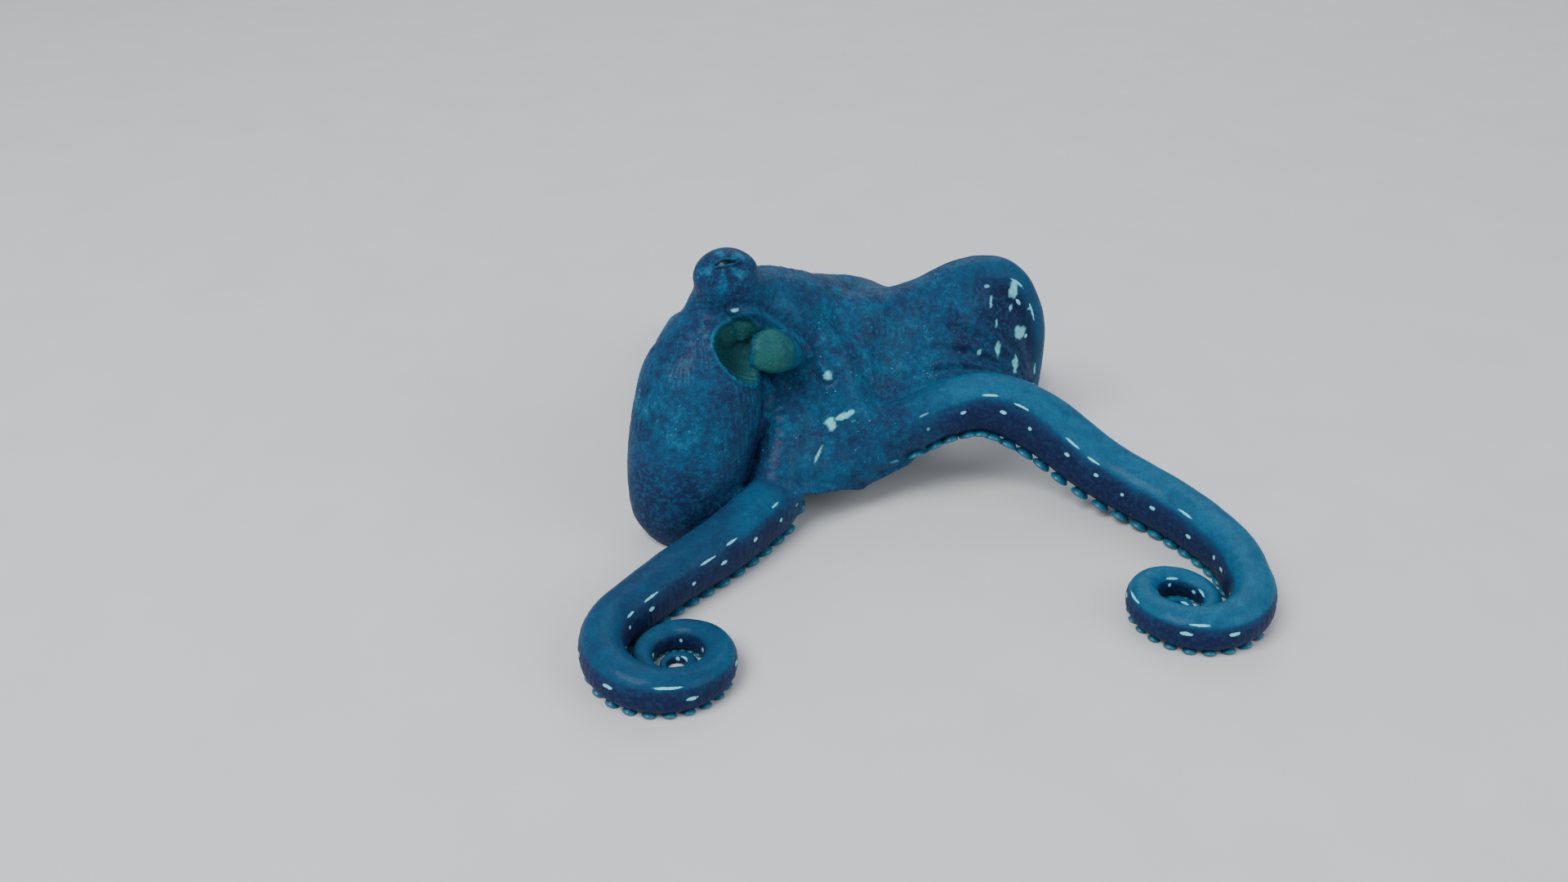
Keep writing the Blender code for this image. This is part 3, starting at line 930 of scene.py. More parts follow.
@dataclass
class Body:
    """The sac-shaped mantle, the head, the opening between them and the siphon.

    Attributes:
        mantle: Its sections: centre, facing direction, half width and half depth.
        head: The head's, down to the crown.
        crown_rings: The crown's: distance along its axis, and radius.
        eyes: The right eye and the left.
        fillers: Flesh in the corners between the arms' roots, the neck and the mantle.
        crease: The flesh between the mantle and the fourth right arm: centres and radii.
        opening: The middle of the mantle's opening.
        opening_radii: Half its size along each axis.
        siphon: Its sections: centre, half width and half height.
        siphon_up: The direction of its height.
        siphon_wall: How thick its lip is.
        siphon_bore: How deep its mouth is.
        sides: Points in each ring of the mantle and the head.
        round_sides: Points in each ring of the siphon.
    """

    mantle: list[Section] = field(default_factory=lambda: [
        ((-59, -19, 0), (0, 0, 1), 12, 11),
        ((-58.5, -18, 4), (0.05, 0.2, 1), 19, 18),
        ((-57.5, -15.5, 12), (0.08, 0.3, 1), 26, 25),
        ((-55.5, -10, 27), (0.12, 0.4, 1), 31, 30),
        ((-50, 3, 56), (0.2, 0.45, 1), 34.5, 33),
        ((-44, 14, 80), (0.4, 0.5, 1), 34, 32),
        ((-36, 24.5, 96), (0.75, 0.6, 0.8), 28.5, 28),
        ((-30, 31, 102.5), (0.9, 0.62, 0.45), 25, 25),
    ])
    head: list[Section] = field(default_factory=lambda: [
        ((-34, 27.5, 101), (0.9, 0.62, 0.42), 21, 21),
        ((-29.5, 31.5, 103), (0.9, 0.62, 0.42), 24.5, 24.5),
        ((-19, 42, 106), (0.8, 0.62, 0.0), 27, 26),
        ((-9.5, 51, 101), (0.65, 0.48, -0.60), 31, 30),
        ((-3, 62, 92), (0.6, 0.28, -0.75), 37, 35),
    ])
    crown_rings: tuple[tuple[float, float], ...] = ((-11.5, 43), (-1.2, 37), (13, 22), (23, 8))
    eyes: list[Eye] = field(default_factory=lambda: [
        Eye(Side.RIGHT, (-31, 24, 136.5), (0.0, -0.58, 0.81), (-26, 34, 112), 17.0, (1, 0.12, 0.2)),
        Eye(Side.LEFT, (-27, 61, 114), (-0.35, 0.80, 0.48), (-21, 48, 108), 14.5, (-1, -0.3, 0.1)),
    ])
    fillers: tuple[tuple[Point, Point], ...] = (
        ((-38, 27, 110), (18, 17, 23)),
        ((38, 57, 89), (12, 13, 14)),
        ((9, 37, 78), (12, 13, 13)),
        ((26, 33, 62), (12, 13, 15)),
    )
    crease: tuple[tuple[Point, float], ...] = (
        ((-12, 22, 80), 6.0),
        ((-14, 21, 68), 7.0),
        ((-15, 15, 52), 7.5),
        ((-16, 7, 37), 7.5),
        ((-19, -5, 22), 7.0),
        ((-23, -17, 10), 5.0),
    )
    opening: Point = (-20, 3, 103.5)
    opening_radii: Point = (19, 14, 19)
    siphon: tuple[tuple[Point, float, float], ...] = (
        ((12, 30, 88), 7.0, 7.5),
        ((5, 22, 93), 7.5, 8.5),
        ((-1, 13, 98), 8.5, 11.0),
        ((-7, 6.5, 102), 8.0, 12.0),
        ((-13, 4, 103.5), 6.2, 10.5),
        ((-17, 4, 104), 4.6, 8.5),
    )
    siphon_up: Point = (0, 0.5, 0.87)
    siphon_wall: float = 1.8
    siphon_bore: float = 9.0
    sides: int = 72
    round_sides: int = 40

    def rings(self, sections: list[Section], gap: float = 3.0) -> list[Array]:
        """Draws rings along the mantle or the head.

        Args:
            sections: A centre, a facing direction, a half width and a half depth for each.
            gap: Distance between the rings, counting how fast they turn and grow.

        Returns:
            The rings.
        """
        turn_weight = 30  # millimetres that a turn of one radian counts for
        rows = np.array([[*c, *(unit(f) * turn_weight), w, d] for c, f, w, d in sections])
        rows = resampled(spline(rows, rows[1] - rows[0], FINE_STEP), gap, 8)
        return [ellipse(row[:3], row[3:6], row[6], row[7], self.sides) for row in rows]

    @staticmethod
    def spaced(rows: ArrayLike, gap: float) -> tuple[Array, Array]:
        """Spaces rows of a tube evenly.

        Args:
            rows: A centre for each, and any sizes after it.
            gap: Distance between the rows of the result.

        Returns:
            The rows, and where the tube runs at each.
        """
        rows = np.asarray(rows, float)
        rows = resampled(spline(rows, rows[1] - rows[0], FINE_STEP), gap)
        return rows, unit(np.gradient(rows[:, :3], axis=0))

    def siphon_shell(self) -> Shell:
        """Builds the siphon: a soft tube with a rolled lip and a slit of a mouth.

        Returns:
            The closed mesh.
        """
        rows, aims = self.spaced([[*centre, *sizes] for centre, *sizes in self.siphon], 1.0)
        mouth, (wide, tall), last = rows[-1, :3], rows[-1, 3:], aims[-1]

        def ring(middle: Array, aim: Array, half: float, height: float) -> Array:
            """Draws one ring of the tube."""
            return ellipse(middle, aim, half, height, self.round_sides, self.siphon_up)

        rings = [ring(row[:3], aim, row[3], row[4]) for row, aim in zip(rows, aims)]
        for forward, less in ((0.9, 0.5), (1.1, 1.2), (0.6, 2.0)):  # the rolled lip
            rings.append(ring(mouth + last * forward, last, wide - less, tall - less))
        for depth in np.linspace(0.0, self.siphon_bore, 7):
            less = self.siphon_wall * (1 + 0.04 * depth)
            rings.append(ring(mouth - last * depth, last, wide - less, tall - less))
        return Shell.loft(rings)

    def crease_shell(self) -> Shell:
        """Builds the flesh between the mantle and the fourth right arm, as a tapered tube."""
        rows, aims = self.spaced([[*centre, radius] for centre, radius in self.crease], 2.0)
        return Shell.loft([ellipse(r[:3], aim, r[3], r[3], 24) for r, aim in zip(rows, aims)])

    @staticmethod
    def ball(centre: ArrayLike, radii: ArrayLike) -> Shell:
        """Builds an upright ellipsoid.

        Args:
            centre: Its middle.
            radii: Half its size along each axis.

        Returns:
            The closed mesh.
        """
        x, y, z = np.asarray(centre, float)
        wide, deep, high = np.asarray(radii, float)
        return Shell.loft([
            ellipse((x, y, z - high * cos(a)), (0, 0, 1), wide * sin(a), deep * sin(a), 48)
            for a in np.linspace(0, pi, 25)[1:-1]
        ])

    def shells(self) -> list[Shell]:
        """Builds the mantle and the head with the opening between them, the mounds and siphon.

        Returns:
            The closed meshes, which overlap.
        """
        axis, _, _ = crown_frame()
        head = list(self.head)
        for place, radius in self.crown_rings:
            centre = np.array(CROWN_CENTRE) + axis * place
            head.append((tuple(centre), tuple(axis), radius, radius))
        cutter = self.ball(self.opening, self.opening_radii).to_object("opening")
        shells = []
        for name, sections in (("mantle", self.mantle), ("head", head)):
            solid = Shell.loft(self.rings(sections)).to_object(name)
            cut = solid.modifiers.new("opening", "BOOLEAN")
            cut.operation = "DIFFERENCE"
            cut.solver = "EXACT"
            cut.object = cutter
            shells.append(Shell.from_object(solid))
        bpy.data.objects.remove(cutter)
        shells += [self.ball(centre, radii) for centre, radii in self.fillers]
        shells.append(self.crease_shell())
        shells += [eye.mound_shell(sides=48) for eye in self.eyes]
        shells.append(self.siphon_shell())
        return shells


# ---- the skin ----
SMOOTH_STEP = (0.6,)  # how far a smoothing step moves a point towards its neighbours' middle
KEEPING_STEPS = (0.55, -0.58)  # a step in and a step back out, which leave the size as it was
BLOCK = 8192  # points looked up at a time


@dataclass
class Hide:
    """The fused skin while it is worked: its mesh, and points in millimetres.

    Attributes:
        data: The mesh, in metres.
    """

    data: Mesh

    @classmethod
    def fused(cls, shell: Shell, voxel: float) -> "Hide":
        """Melts overlapping closed shells into one.

        Args:
            shell: All of them together.
            voxel: The size of the new mesh's faces, in millimetres.

        Returns:
            The new skin.
        """
        obj = shell.to_object("fusing")
        melt = obj.modifiers.new("melt", "REMESH")
        melt.mode = "VOXEL"
        melt.voxel_size = voxel * MM
        graph = bpy.context.evaluated_depsgraph_get()
        data = bpy.data.meshes.new_from_object(obj.evaluated_get(graph))
        data.name = "skin"
        bpy.data.objects.remove(obj)
        return cls(data)

    @property
    def points(self) -> Array:
        """Where the mesh's points are."""
        return self.read(self.data.vertices, "co") / MM

    @points.setter
    def points(self, value: Array) -> None:
        """Moves the mesh's points, none of them below the floor.

        Args:
            value: Where they go.
        """
        value = value.copy()
        value[:, 2] = np.maximum(value[:, 2], 0)
        self.data.vertices.foreach_set("co", (value * MM).astype(np.float32).ravel())
        self.data.update()

    @property
    def normals(self) -> Array:
        """The direction out of the skin at each point."""
        return self.read(self.data.vertex_normals, "vector")

    @staticmethod
    def read(rows: Any, name: str) -> Array:
        """Reads three numbers from each item of a mesh.

        Args:
            rows: The items.
            name: The property to read.

        Returns:
            A row of three for each.
        """
        flat = np.empty(len(rows) * 3, np.float32)
        rows.foreach_get(name, flat)
        return flat.astype(float).reshape(-1, 3)

    def relax(self, weight: ArrayLike, rounds: int, keep_size: bool = False) -> None:
        """Smooths the skin.

        Args:
            weight: How much at each point, from 0 to 1.
            rounds: How many times.
            keep_size: Pushes back after each round, so that thin parts stay thick.
        """
        flat = np.empty(len(self.data.edges) * 2, np.int32)
        self.data.edges.foreach_get("vertices", flat)
        edges = flat.reshape(-1, 2)
        points = self.points
        count = len(points)
        ends = np.concatenate([edges[:, 0], edges[:, 1]])
        others = np.concatenate([edges[:, 1], edges[:, 0]])
        near = np.bincount(ends, minlength=count)[:, None]
        share = np.broadcast_to(np.asarray(weight, float), (count,))[:, None]
        steps = KEEPING_STEPS if keep_size else SMOOTH_STEP
        for _ in range(rounds):
            for step in steps:
                total = np.stack([
                    np.bincount(ends, weights=points[others, k], minlength=count)
                    for k in range(3)
                ], axis=1)
                points = points + (total / near - points) * share * step
        self.points = points

    def refine(self, zones: list[tuple[Array, float]], cuts: int) -> None:
        """Makes the mesh finer inside spheres.

        Args:
            zones: The centre and the radius of each, in millimetres.
            cuts: Points added to each edge.
        """
        mesh = bmesh.new()
        mesh.from_mesh(self.data)
        points = self.points
        inside = np.zeros(len(points), bool)
        for centre, radius in zones:
            inside |= np.linalg.norm(points - centre, axis=1) < radius
        mesh.verts.ensure_lookup_table()
        edges = [e for e in mesh.edges if inside[e.verts[0].index] and inside[e.verts[1].index]]
        bmesh.ops.subdivide_edges(mesh, edges=edges, cuts=cuts, use_grid_fill=True)
        crowded = [f for f in mesh.faces if len(f.verts) > 4]
        bmesh.ops.triangulate(mesh, faces=crowded)
        mesh.to_mesh(self.data)
        mesh.free()
        self.data.update()

    def note(self, name: str, values: ArrayLike) -> None:
        """Stores a number for each point, for the material to read.

        Args:
            name: What the material reads it as.
            values: One number for each point, or one for all.
        """
        made = self.data.attributes.new(name, "FLOAT", "POINT")
        flat = np.broadcast_to(np.asarray(values, np.float32), (len(self.data.vertices),))
        made.data.foreach_set("value", np.ascontiguousarray(flat))


@dataclass
class ArmPlaces:
    """Where each point of the skin lies on its nearest arm.

    Attributes:
        arm: Which arm.
        along: Distance from the crown.
        angle: From the upper side, 0 to pi.
        gap: Distance out from the arm's own surface.
        half: The arm's half depth there.
        surface: The nearest point on the arm's own surface.
    """

    arm: NDArray[np.int64]
    along: Array
    angle: Array
    gap: Array
    half: Array
    surface: Array

    @classmethod
    def of(cls, points: Array, arms: list[Arm]) -> "ArmPlaces":
        """Looks the points up on the arms.

        Args:
            points: Rows of x, y and z.
            arms: All the arms.

        Returns:
            The places, one for each point.
        """
        line = np.vstack([arm.line for arm in arms])
        over = np.vstack([arm.over for arm in arms])
        across = np.vstack([arm.across for arm in arms])
        ahead = np.vstack([arm.ahead for arm in arms])
        owner = np.concatenate([np.full(len(arm.line), i) for i, arm in enumerate(arms)])
        step = np.concatenate([np.arange(len(arm.line)) for arm in arms])
        half = np.concatenate([arm.half_depth(np.arange(len(arm.line))) for arm in arms])
        # The distance to each place allows for the arm's thickness there.
        offset = ((line**2).sum(1) - (0.9 * half) ** 2).astype(np.float32)
        table = (-2 * line.T).astype(np.float32)
        nearest = np.empty(len(points), np.int64)
        for start in range(0, len(points), BLOCK):
            block = points[start : start + BLOCK].astype(np.float32)
            nearest[start : start + BLOCK] = (block @ table + offset).argmin(1)
        away = points - line[nearest]
        slip = np.clip((away * ahead[nearest]).sum(1), -1, 1)
        away = away - slip[:, None] * ahead[nearest]
        up, out = (away * over[nearest]).sum(1), (away * across[nearest]).sum(1)
        angle = np.arctan2(out, up)
        size = arms[0].reach(angle) * half[nearest]
        radius = np.hypot(up, out)
        spoke = unit(over[nearest] * up[:, None] + across[nearest] * out[:, None])
        surface = line[nearest] + slip[:, None] * ahead[nearest] + spoke * size[:, None]
        along, gap = step[nearest] + slip, radius - size
        return cls(owner[nearest], along, np.abs(angle), gap, half[nearest], surface)


SPOT_DEPTH = 9.0  # how deep into the body a spot reaches


@dataclass(frozen=True)
class Spot:
    """A patch on the skin: a white spot, a pale blotch or a patch of painted shade.

    Attributes:
        centre: Where it is.
        half_width: Half its width.
        half_height: Half its height.
        lean: How far it is turned in its own plane, in degrees.
    """

    centre: Point
    half_width: float
    half_height: float
    lean: float = 0.0

    def cover(self, points: Array, edge: float = 0.35) -> Array:
        """Draws the spot, with a ragged edge.

        Args:
            points: Where to draw it.
            edge: How soft its edge is, as a share of its half size.

        Returns:
            1 on the spot and 0 off it.
        """
        x, y, z = (points - np.array(self.centre)).T
        turn = radians(self.lean)
        across, up = x * cos(turn) + z * sin(turn), z * cos(turn) - x * sin(turn)
        away = np.hypot(np.hypot(across / self.half_width, up / self.half_height), y / SPOT_DEPTH)
        return ramp(away + 0.35 * cloud(points, 2.2, 51), 1.0 + edge / 2, 1.0 - edge / 2)


SPOTS = (
    Spot((24, 23, 79), 2.0, 2.6),  # at the end of the ridge over the siphon
    Spot((-26, 10, 125), 2.0, 1.0),  # at its start, under the eye
    Spot((26, 14, 54), 2.6, 3.4, 25),  # between the roots of the third and fourth right arms
    Spot((34, 13, 59), 6.0, 1.4, 22),
    Spot((18, 6, 40), 0.9, 4.5, -35),
    Spot((135, 89, 101), 2.6, 5.2),  # on the broad face of the second right arm
    Spot((141, 88, 74), 4.2, 3.6),
    Spot((138, 80, 57), 2.0, 4.6),
    Spot((126, 77, 70), 1.6, 4.4),
    Spot((114, 66, 72), 1.0, 1.6),
    Spot((121, 82, 97), 0.7, 2.6),
    Spot((125, 77, 84), 0.7, 2.8),
    Spot((134, 88, 90), 0.8, 1.8),
    Spot((146, 92, 88), 1.2, 1.0),
)

# Broad soft patches: painted shade on the broad face of the second right arm and in the hollow beside it,
# then pale blotches in the skin.
SHADE_PATCHES = (
    Spot((126, 84, 78), 24, 34),  # the broad face of the second right arm
    Spot((102, 66, 78), 5, 30, 12),  # the hollow beside it
)
PALE = (
    Spot((100, 86, 108), 4, 7),
    Spot((0, 4, 58), 11, 24, -8),  # the root of the fourth right arm
)
LIT_TOP_START = {"right_2": 0.45, "right_4": 0.6}  # how strong the painted light on the arms' upper sides starts, on arms where it is fainter
NECK = (-30.0, 31.0, 102.0)
MANTLE_AXIS = (-46.0, 12.0)  # where the mantle's upright axis stands
ARM_PHASE = 17.3  # sets each arm's marks off from the next arm's


@dataclass
class Octopus:
    """The whole animal: plan and skin.

    Attributes:
        voxel: The size of the fused skin's faces.
        arms: The eight arms.
        body: The mantle, the head and the siphon.
        ridge: Where the ridge over the siphon runs.
        crease: Where the shade painted into the groove between the mantle and the fourth right arm is
            darkest.
        webs: The eight webs.
        hide: The fused skin.
    """

    voxel: float = 1.15
    arms: list[Arm] = field(default_factory=all_arms)
    body: Body = field(default_factory=Body)
    ridge: tuple[Point, ...] = (
        (-27, 10, 124), (-13, 16, 119), (0, 21, 108), (10, 25, 97), (24, 23, 79)
    )
    crease: tuple[Point, ...] = (
        (-14, 12, 76), (-15, 7, 60), (-17, -2, 38), (-21, -15, 20), (-25, -25, 10)
    )
    webs: list[Web] = field(init=False)
    hide: Hide = field(init=False)

    def plan(self) -> None:
        """Works out the arms' paths and the webs between them."""
        for arm in self.arms:
            arm.build_path()
        self.webs = all_webs(self.arms)

    def fuse(self) -> None:
        """Fuses the flesh into one skin and smooths it."""
        shells = self.body.shells()
        shells += [arm.shell(sides=28, step=2.5) for arm in self.arms]
        shells += [web.shell() for web in self.webs]
        shells += [web.root() for web in self.webs[:-1]]
        self.hide = Hide.fused(Shell.joined(shells), self.voxel)
        LOG.info("fused %d points", len(self.hide.data.vertices))
        self.hide.relax(1.0, rounds=5, keep_size=True)
        self.blend()
        self.settle_arms()
        self.sharpen()
        self.roughen()
        for eye in self.body.eyes:
            self.open_lids(eye)

    def blend(self) -> None:
        """Softens the joins round the crown, the neck and the feet of the mounds."""
        points = self.hide.points
        weight = ramp(distance_from(points, CROWN_CENTRE), 88, 58)
        weight = np.maximum(weight, ramp(distance_from(points, NECK), 48, 34))
        weight = weight * ramp(self.in_opening(points), 1.05, 1.45)
        for eye in self.body.eyes:
            weight = weight * ramp(distance_from(points, eye.centre), 9, 17)
        mouth = self.body.siphon[-1][0]
        weight = weight * ramp(distance_from(points, mouth), 12, 24)
        self.hide.relax(weight, rounds=45)
        points = self.hide.points
        places = ArmPlaces.of(points, self.arms)
        margin = np.array([arm.margin for arm in self.arms])[places.arm]
        weight = ramp(places.along, margin - 6, margin - 24) * (np.abs(places.gap) < 7)
        self.hide.relax(weight * ramp(points[:, 2], 2, 8), rounds=22)

    def in_opening(self, points: Array) -> Array:
        """Gives each point's distance from the opening's middle, 1 where its edge is."""
        away = (points - np.array(self.body.opening)) / np.array(self.body.opening_radii)
        return np.linalg.norm(away, axis=1)

    def settle_arms(self) -> None:
        """Puts the arms beyond the webs exactly on their own sections."""
        points = self.hide.points
        places = ArmPlaces.of(points, self.arms)
        margin = np.array([arm.margin for arm in self.arms])[places.arm]
        ends = np.array([arm.length for arm in self.arms])[places.arm]
        weight = ramp(places.along, margin + 6, margin + 22) * (np.abs(places.gap) < 3)
        weight = weight * (places.along < ends - 2)
        tight = self.tight_bends(places)
        self.hide.points = points + (places.surface - points) * (weight * (1 - tight))[:, None]
        self.hide.relax(tight * (np.abs(places.gap) < 4), rounds=24)

    def tight_bends(self, places: ArmPlaces) -> Array:
        """Finds where an arm bends too sharply for its sections to follow.

        Args:
            places: Where the skin's points lie on the arms.

        Returns:
            From 0 to 1 at each of them.
        """
        tight = np.zeros(len(places.along))
        for number, arm in enumerate(self.arms):
            steps = np.arange(len(arm.ahead))
            bend = np.linalg.norm(np.gradient(arm.ahead, axis=0), axis=1) * arm.half_depth(steps)
            spread = np.ones(15) / 8  # takes in 7 mm on either side of the bend
            wide = np.convolve(ramp(bend, 0.6, 0.9), spread, "same").clip(0, 1)
            mine = places.arm == number
            tight[mine] = np.interp(places.along[mine], steps, wide)
        return tight * ramp(places.half, 5, 7)

    def sharpen(self) -> None:
        """Makes the mesh finer round the eyes, the opening and the siphon."""
        eyes = self.body.eyes
        zones = [(eye.centre + unit(eye.look) * eye.radius, 0.95 * eye.size) for eye in eyes]
        self.hide.refine(zones, cuts=2)
        self.hide.refine([(np.array(self.body.opening), 26.0)], cuts=1)

    def open_lids(self, eye: Eye) -> None:
        """Draws the lids tight over an eyeball, and opens a slit between them.

        Args:
            eye: The eye that they cover.
        """
        points = self.hide.points
        level, up, look = eye.axes()
        away = points - eye.centre
        radius = np.linalg.norm(away, axis=1)
        x, y, z = away @ level, away @ up, away @ look
        u, v = np.arctan2(x, z) * eye.radius, np.arctan2(y, z) * eye.radius
        v = v + eye.slit_low
        gap = self.slit(eye, u, v)
        weight = ramp(z / np.maximum(radius, 1e-6), 0.35, 0.75) * (radius < eye.radius + 9)
        lid = np.maximum(radius, eye.radius + 1.1)
        lid = lid + 0.9 * bump(gap, 1.0, 0.75)  # the rolled edge of the slit
        lid = lid + 0.35 * bump(gap, 3.6, 0.8) * (v > 0)  # a fold above it
        lid = lid - 0.45 * bump(gap, 2.4, 0.6)  # a groove between them
        lid = lid - 0.3 * bump(gap, 5.2, 0.9)  # and one outside
        inside = ramp(gap, 0.75, 0.0)
        target = lid * (1 - inside) + (eye.radius - 1.4) * inside  # behind the eyeball's surface
        wanted = eye.centre + away / radius[:, None] * target[:, None]
        self.hide.points = points + (wanted - points) * weight[:, None]

    @staticmethod
    def slit(eye: Eye, u: Array, v: Array) -> Array:
        """Gives the distance outside the slit between the lids, along the eyeball.

        Args:
            eye: The eye.
            u: Distance along the slit from its middle.
            v: Distance up from it.

        Returns:
            Millimetres, negative inside.
        """
        half = 0.29 * eye.size
        tall = np.where(v > 0, 0.050, 0.034) * eye.size
        gap = np.abs(v) - tall * np.maximum(1 - (u / half) ** 2, 0)
        beyond = np.maximum(np.abs(u) - half, 0)
        return np.where(beyond > 0, np.hypot(beyond, np.abs(v)), gap)

    def roughen(self) -> None:
        """Raises folds, wrinkles and small warts."""
        points, normals = self.hide.points, self.hide.normals
        places = ArmPlaces.of(points, self.arms)
        on_arm = ramp(places.gap, 4.5, 1.5)
        near_eye = np.zeros(len(points))
        for eye in self.body.eyes:
            near_eye = np.maximum(near_eye, ramp(distance_from(points, eye.centre), 21, 13))
        calm = 1 - 0.85 * near_eye
        crown = ramp(distance_from(points, CROWN_CENTRE), 95, 50)
        size = np.clip(places.half / 14, 0.15, 1)
        upper = ramp(places.angle, 2.2, 1.2)
        wart = pimples(points, 6.0, 11) * (0.25 + 0.55 * crown) + pimples(points, 2.8, 23) * 0.22
        arm_height = wart * size * upper * (0.45 + 0.55 * cloud(points, 30, 5))
        body_height = wart * (0.75 + 0.25 * cloud(points, 25, 6))
        height = arm_height * on_arm + body_height * (1 - on_arm)
        height = height + 0.35 * cloud(points, 7, 7) * (1 - on_arm * 0.6)
        height = height + self.mantle_wrinkles(points)
        crease = np.sin(tau * places.along / 3.4 + 3 * cloud(points, 14, 9))
        height = height + 0.12 * crease * on_arm * size * ramp(places.angle, 0.5, 1.3)
        height = height * calm + self.opening_lip(points) + self.siphon_ridge(points)
        self.hide.points = points + normals * height[:, None]

    def mantle_wrinkles(self, points: Array) -> Array:
        """Draws the fine upright wrinkles on the mantle's upper part.

        Args:
            points: Where to draw them.

        Returns:
            Their height at each point.
        """
        middle = np.array(MANTLE_AXIS)
        turn = np.arctan2(points[:, 1] - middle[1], points[:, 0] - middle[0])
        wave = np.sin(turn * 58 + 2.2 * cloud(points * [1, 1, 0.35], 10, 3))
        where = ramp(points[:, 2], 30, 70) * ramp(points[:, 2], 122, 112)
        where = where * ramp(np.hypot(*(points[:, :2] - middle).T), 52, 42)
        return 0.32 * wave * where * (0.6 + 0.4 * cloud(points, 18, 4))

    def opening_lip(self, points: Array) -> Array:
        """Draws the rolled edge round the opening.

        Args:
            points: Where to draw it.

        Returns:
            Its height at each point.
        """
        gap = (self.in_opening(points) - 1) * np.mean(self.body.opening_radii)
        off_tube = ramp(distance_to(points, self.tube()), 11, 15)
        return 1.3 * bump(gap, 1.0, 1.2) * (gap > -0.2) * off_tube

    def star(self, eye: Eye, points: Array) -> tuple[Array, Array]:
        """Draws the five pale rays, and the dark ones between them, round an eye.

        Args:
            eye: The eye.
            points: Where to draw.

        Returns:
            How pale and how dark each point is.
        """
        level, up, look = eye.axes()
        away = points - eye.centre
        x, y, z = away @ level, away @ up + eye.slit_low, away @ look
        far = np.hypot(x, y)
        rays = np.cos(5 * (np.arctan2(y, x) - radians(30)) + 0.9 * cloud(points, 5, 61))
        reach = ramp(far, 2.6, 4.5) * ramp(far + 2.5 * cloud(points, 4, 62), 14.5, 10.5) * (z > 0)
        gap = self.slit(eye, x, y)
        rim = ramp(gap, 2.1, 1.5) * ramp(gap, 0.2, 0.7) * (z > 0)
        pale = np.maximum(ramp(rays, 0.15, 0.75) * reach, 0.9 * rim)
        return pale, ramp(rays, -0.05, -0.6) * reach

    def siphon_ridge(self, points: Array) -> Array:
        """Gives the height of the ridge that runs from the neck over the siphon."""
        near = distance_to(points, self.drawn(self.ridge))
        return 2.0 * bump(near, 0, 2.2) - 0.7 * bump(near, 4.8, 1.8)

    def tube(self) -> Array:
        """Gives the siphon's middle line."""
        return self.drawn(tuple(row[0] for row in self.body.siphon[1:]))

    @staticmethod
    def drawn(line: tuple[Point, ...]) -> Array:
        """Draws a smooth line through a few points, a millimetre at a time."""
        rows = np.array(line, float)
        return spline(rows, rows[1] - rows[0], 1.0)

    def mottling(self, points: Array) -> Array:
        """Draws streaks that run out from the crown, with fine grains between them.

        Args:
            points: Where to draw them.

        Returns:
            From 0, dark, to 1, pale, at each point.
        """
        from_crown = points - np.array(CROWN_CENTRE)
        far = np.linalg.norm(from_crown, axis=1)
        streaks = from_crown / far[:, None] * 60 + crown_frame()[0] * 0.28 * far[:, None]
        streaks = cloud(streaks, 9, 31) + 0.8 * cloud(streaks, 4, 32)
        grains = 0.7 * cloud(points, 5, 33) + 0.9 * cloud(points, 2.4, 34)
        return ramp(0.55 * streaks + 0.5 * grains, -0.55, 0.75)

    def paint(self) -> None:
        """Stores where the skin is pale, shaded, olive or marked with white; the pale and the shade
        include painted light and shade.
        """
        points = self.hide.points
        places = ArmPlaces.of(points, self.arms)
        angle = places.angle
        mottle = self.mottling(points)
        free = ramp(places.along, 62, 108) * ramp(places.gap, 4.0, 1.0)
        # Painted light: beyond the webs the arms are paler on their upper sides, as if lit from above.
        lit_top_start = np.array([LIT_TOP_START.get(arm.name, 1.0) for arm in self.arms])[places.arm]
        lit_top = ramp(angle, 1.0, 0.78) * free * np.maximum(lit_top_start, ramp(places.along, 190, 230))
        crown = ramp(distance_from(points, CROWN_CENTRE), 135, 70)
        crown = crown * ramp(points[:, 2], 4, 40) * (1 - free)
        on_mantle = ramp(points[:, 0], -18, -34) * ramp(points[:, 1], 70, 50)
        across = (points[:, 2] - 66) + 0.55 * (points[:, 0] + 46)
        speckled = ramp(np.abs(across + 6 * cloud(points, 14, 35)), 22, 6) * on_mantle
        wrinkled = ramp(points[:, 2], 70, 88) * on_mantle
        pale = np.maximum(0.85 * lit_top, crown * (1 - on_mantle) * (0.12 + 0.62 * mottle))
        pale = np.maximum(pale, on_mantle * (0.95 * speckled + 0.38 * wrinkled) * mottle)
        # Painted shade on the arms' flanks below their lit tops; the mantle is also darker towards the
        # bottom.
        shade = ramp(angle, 0.85, 1.35) * ramp(angle, 2.8, 2.5) * free * 0.92
        shade = np.maximum(shade, 0.5 * on_mantle * ramp(points[:, 2], 62, 30))
        # The opening: olive inside and on the siphon, with pale rims.
        inside = self.in_opening(points)
        near = distance_to(points, self.tube())
        on_tube = ramp(near + 2 * cloud(points, 5, 36), 15.5, 9.5) * ramp(inside, 1.7, 1.2)
        olive = np.maximum(ramp(inside, 1.06, 0.95), on_tube)
        place, wide, tall = self.body.siphon[-1]
        mouth = ellipse(place, (-1, 0, 0.1), wide, tall, 40, self.body.siphon_up)
        rims = ramp(np.abs(inside - 1.07), 0.085, 0.03) * ramp(near, 11, 15)
        # Painted highlight: a pale ring on the lip round the siphon's mouth.
        rims = np.maximum(rims, ramp(distance_to(points, mouth), 2.8, 1.4))
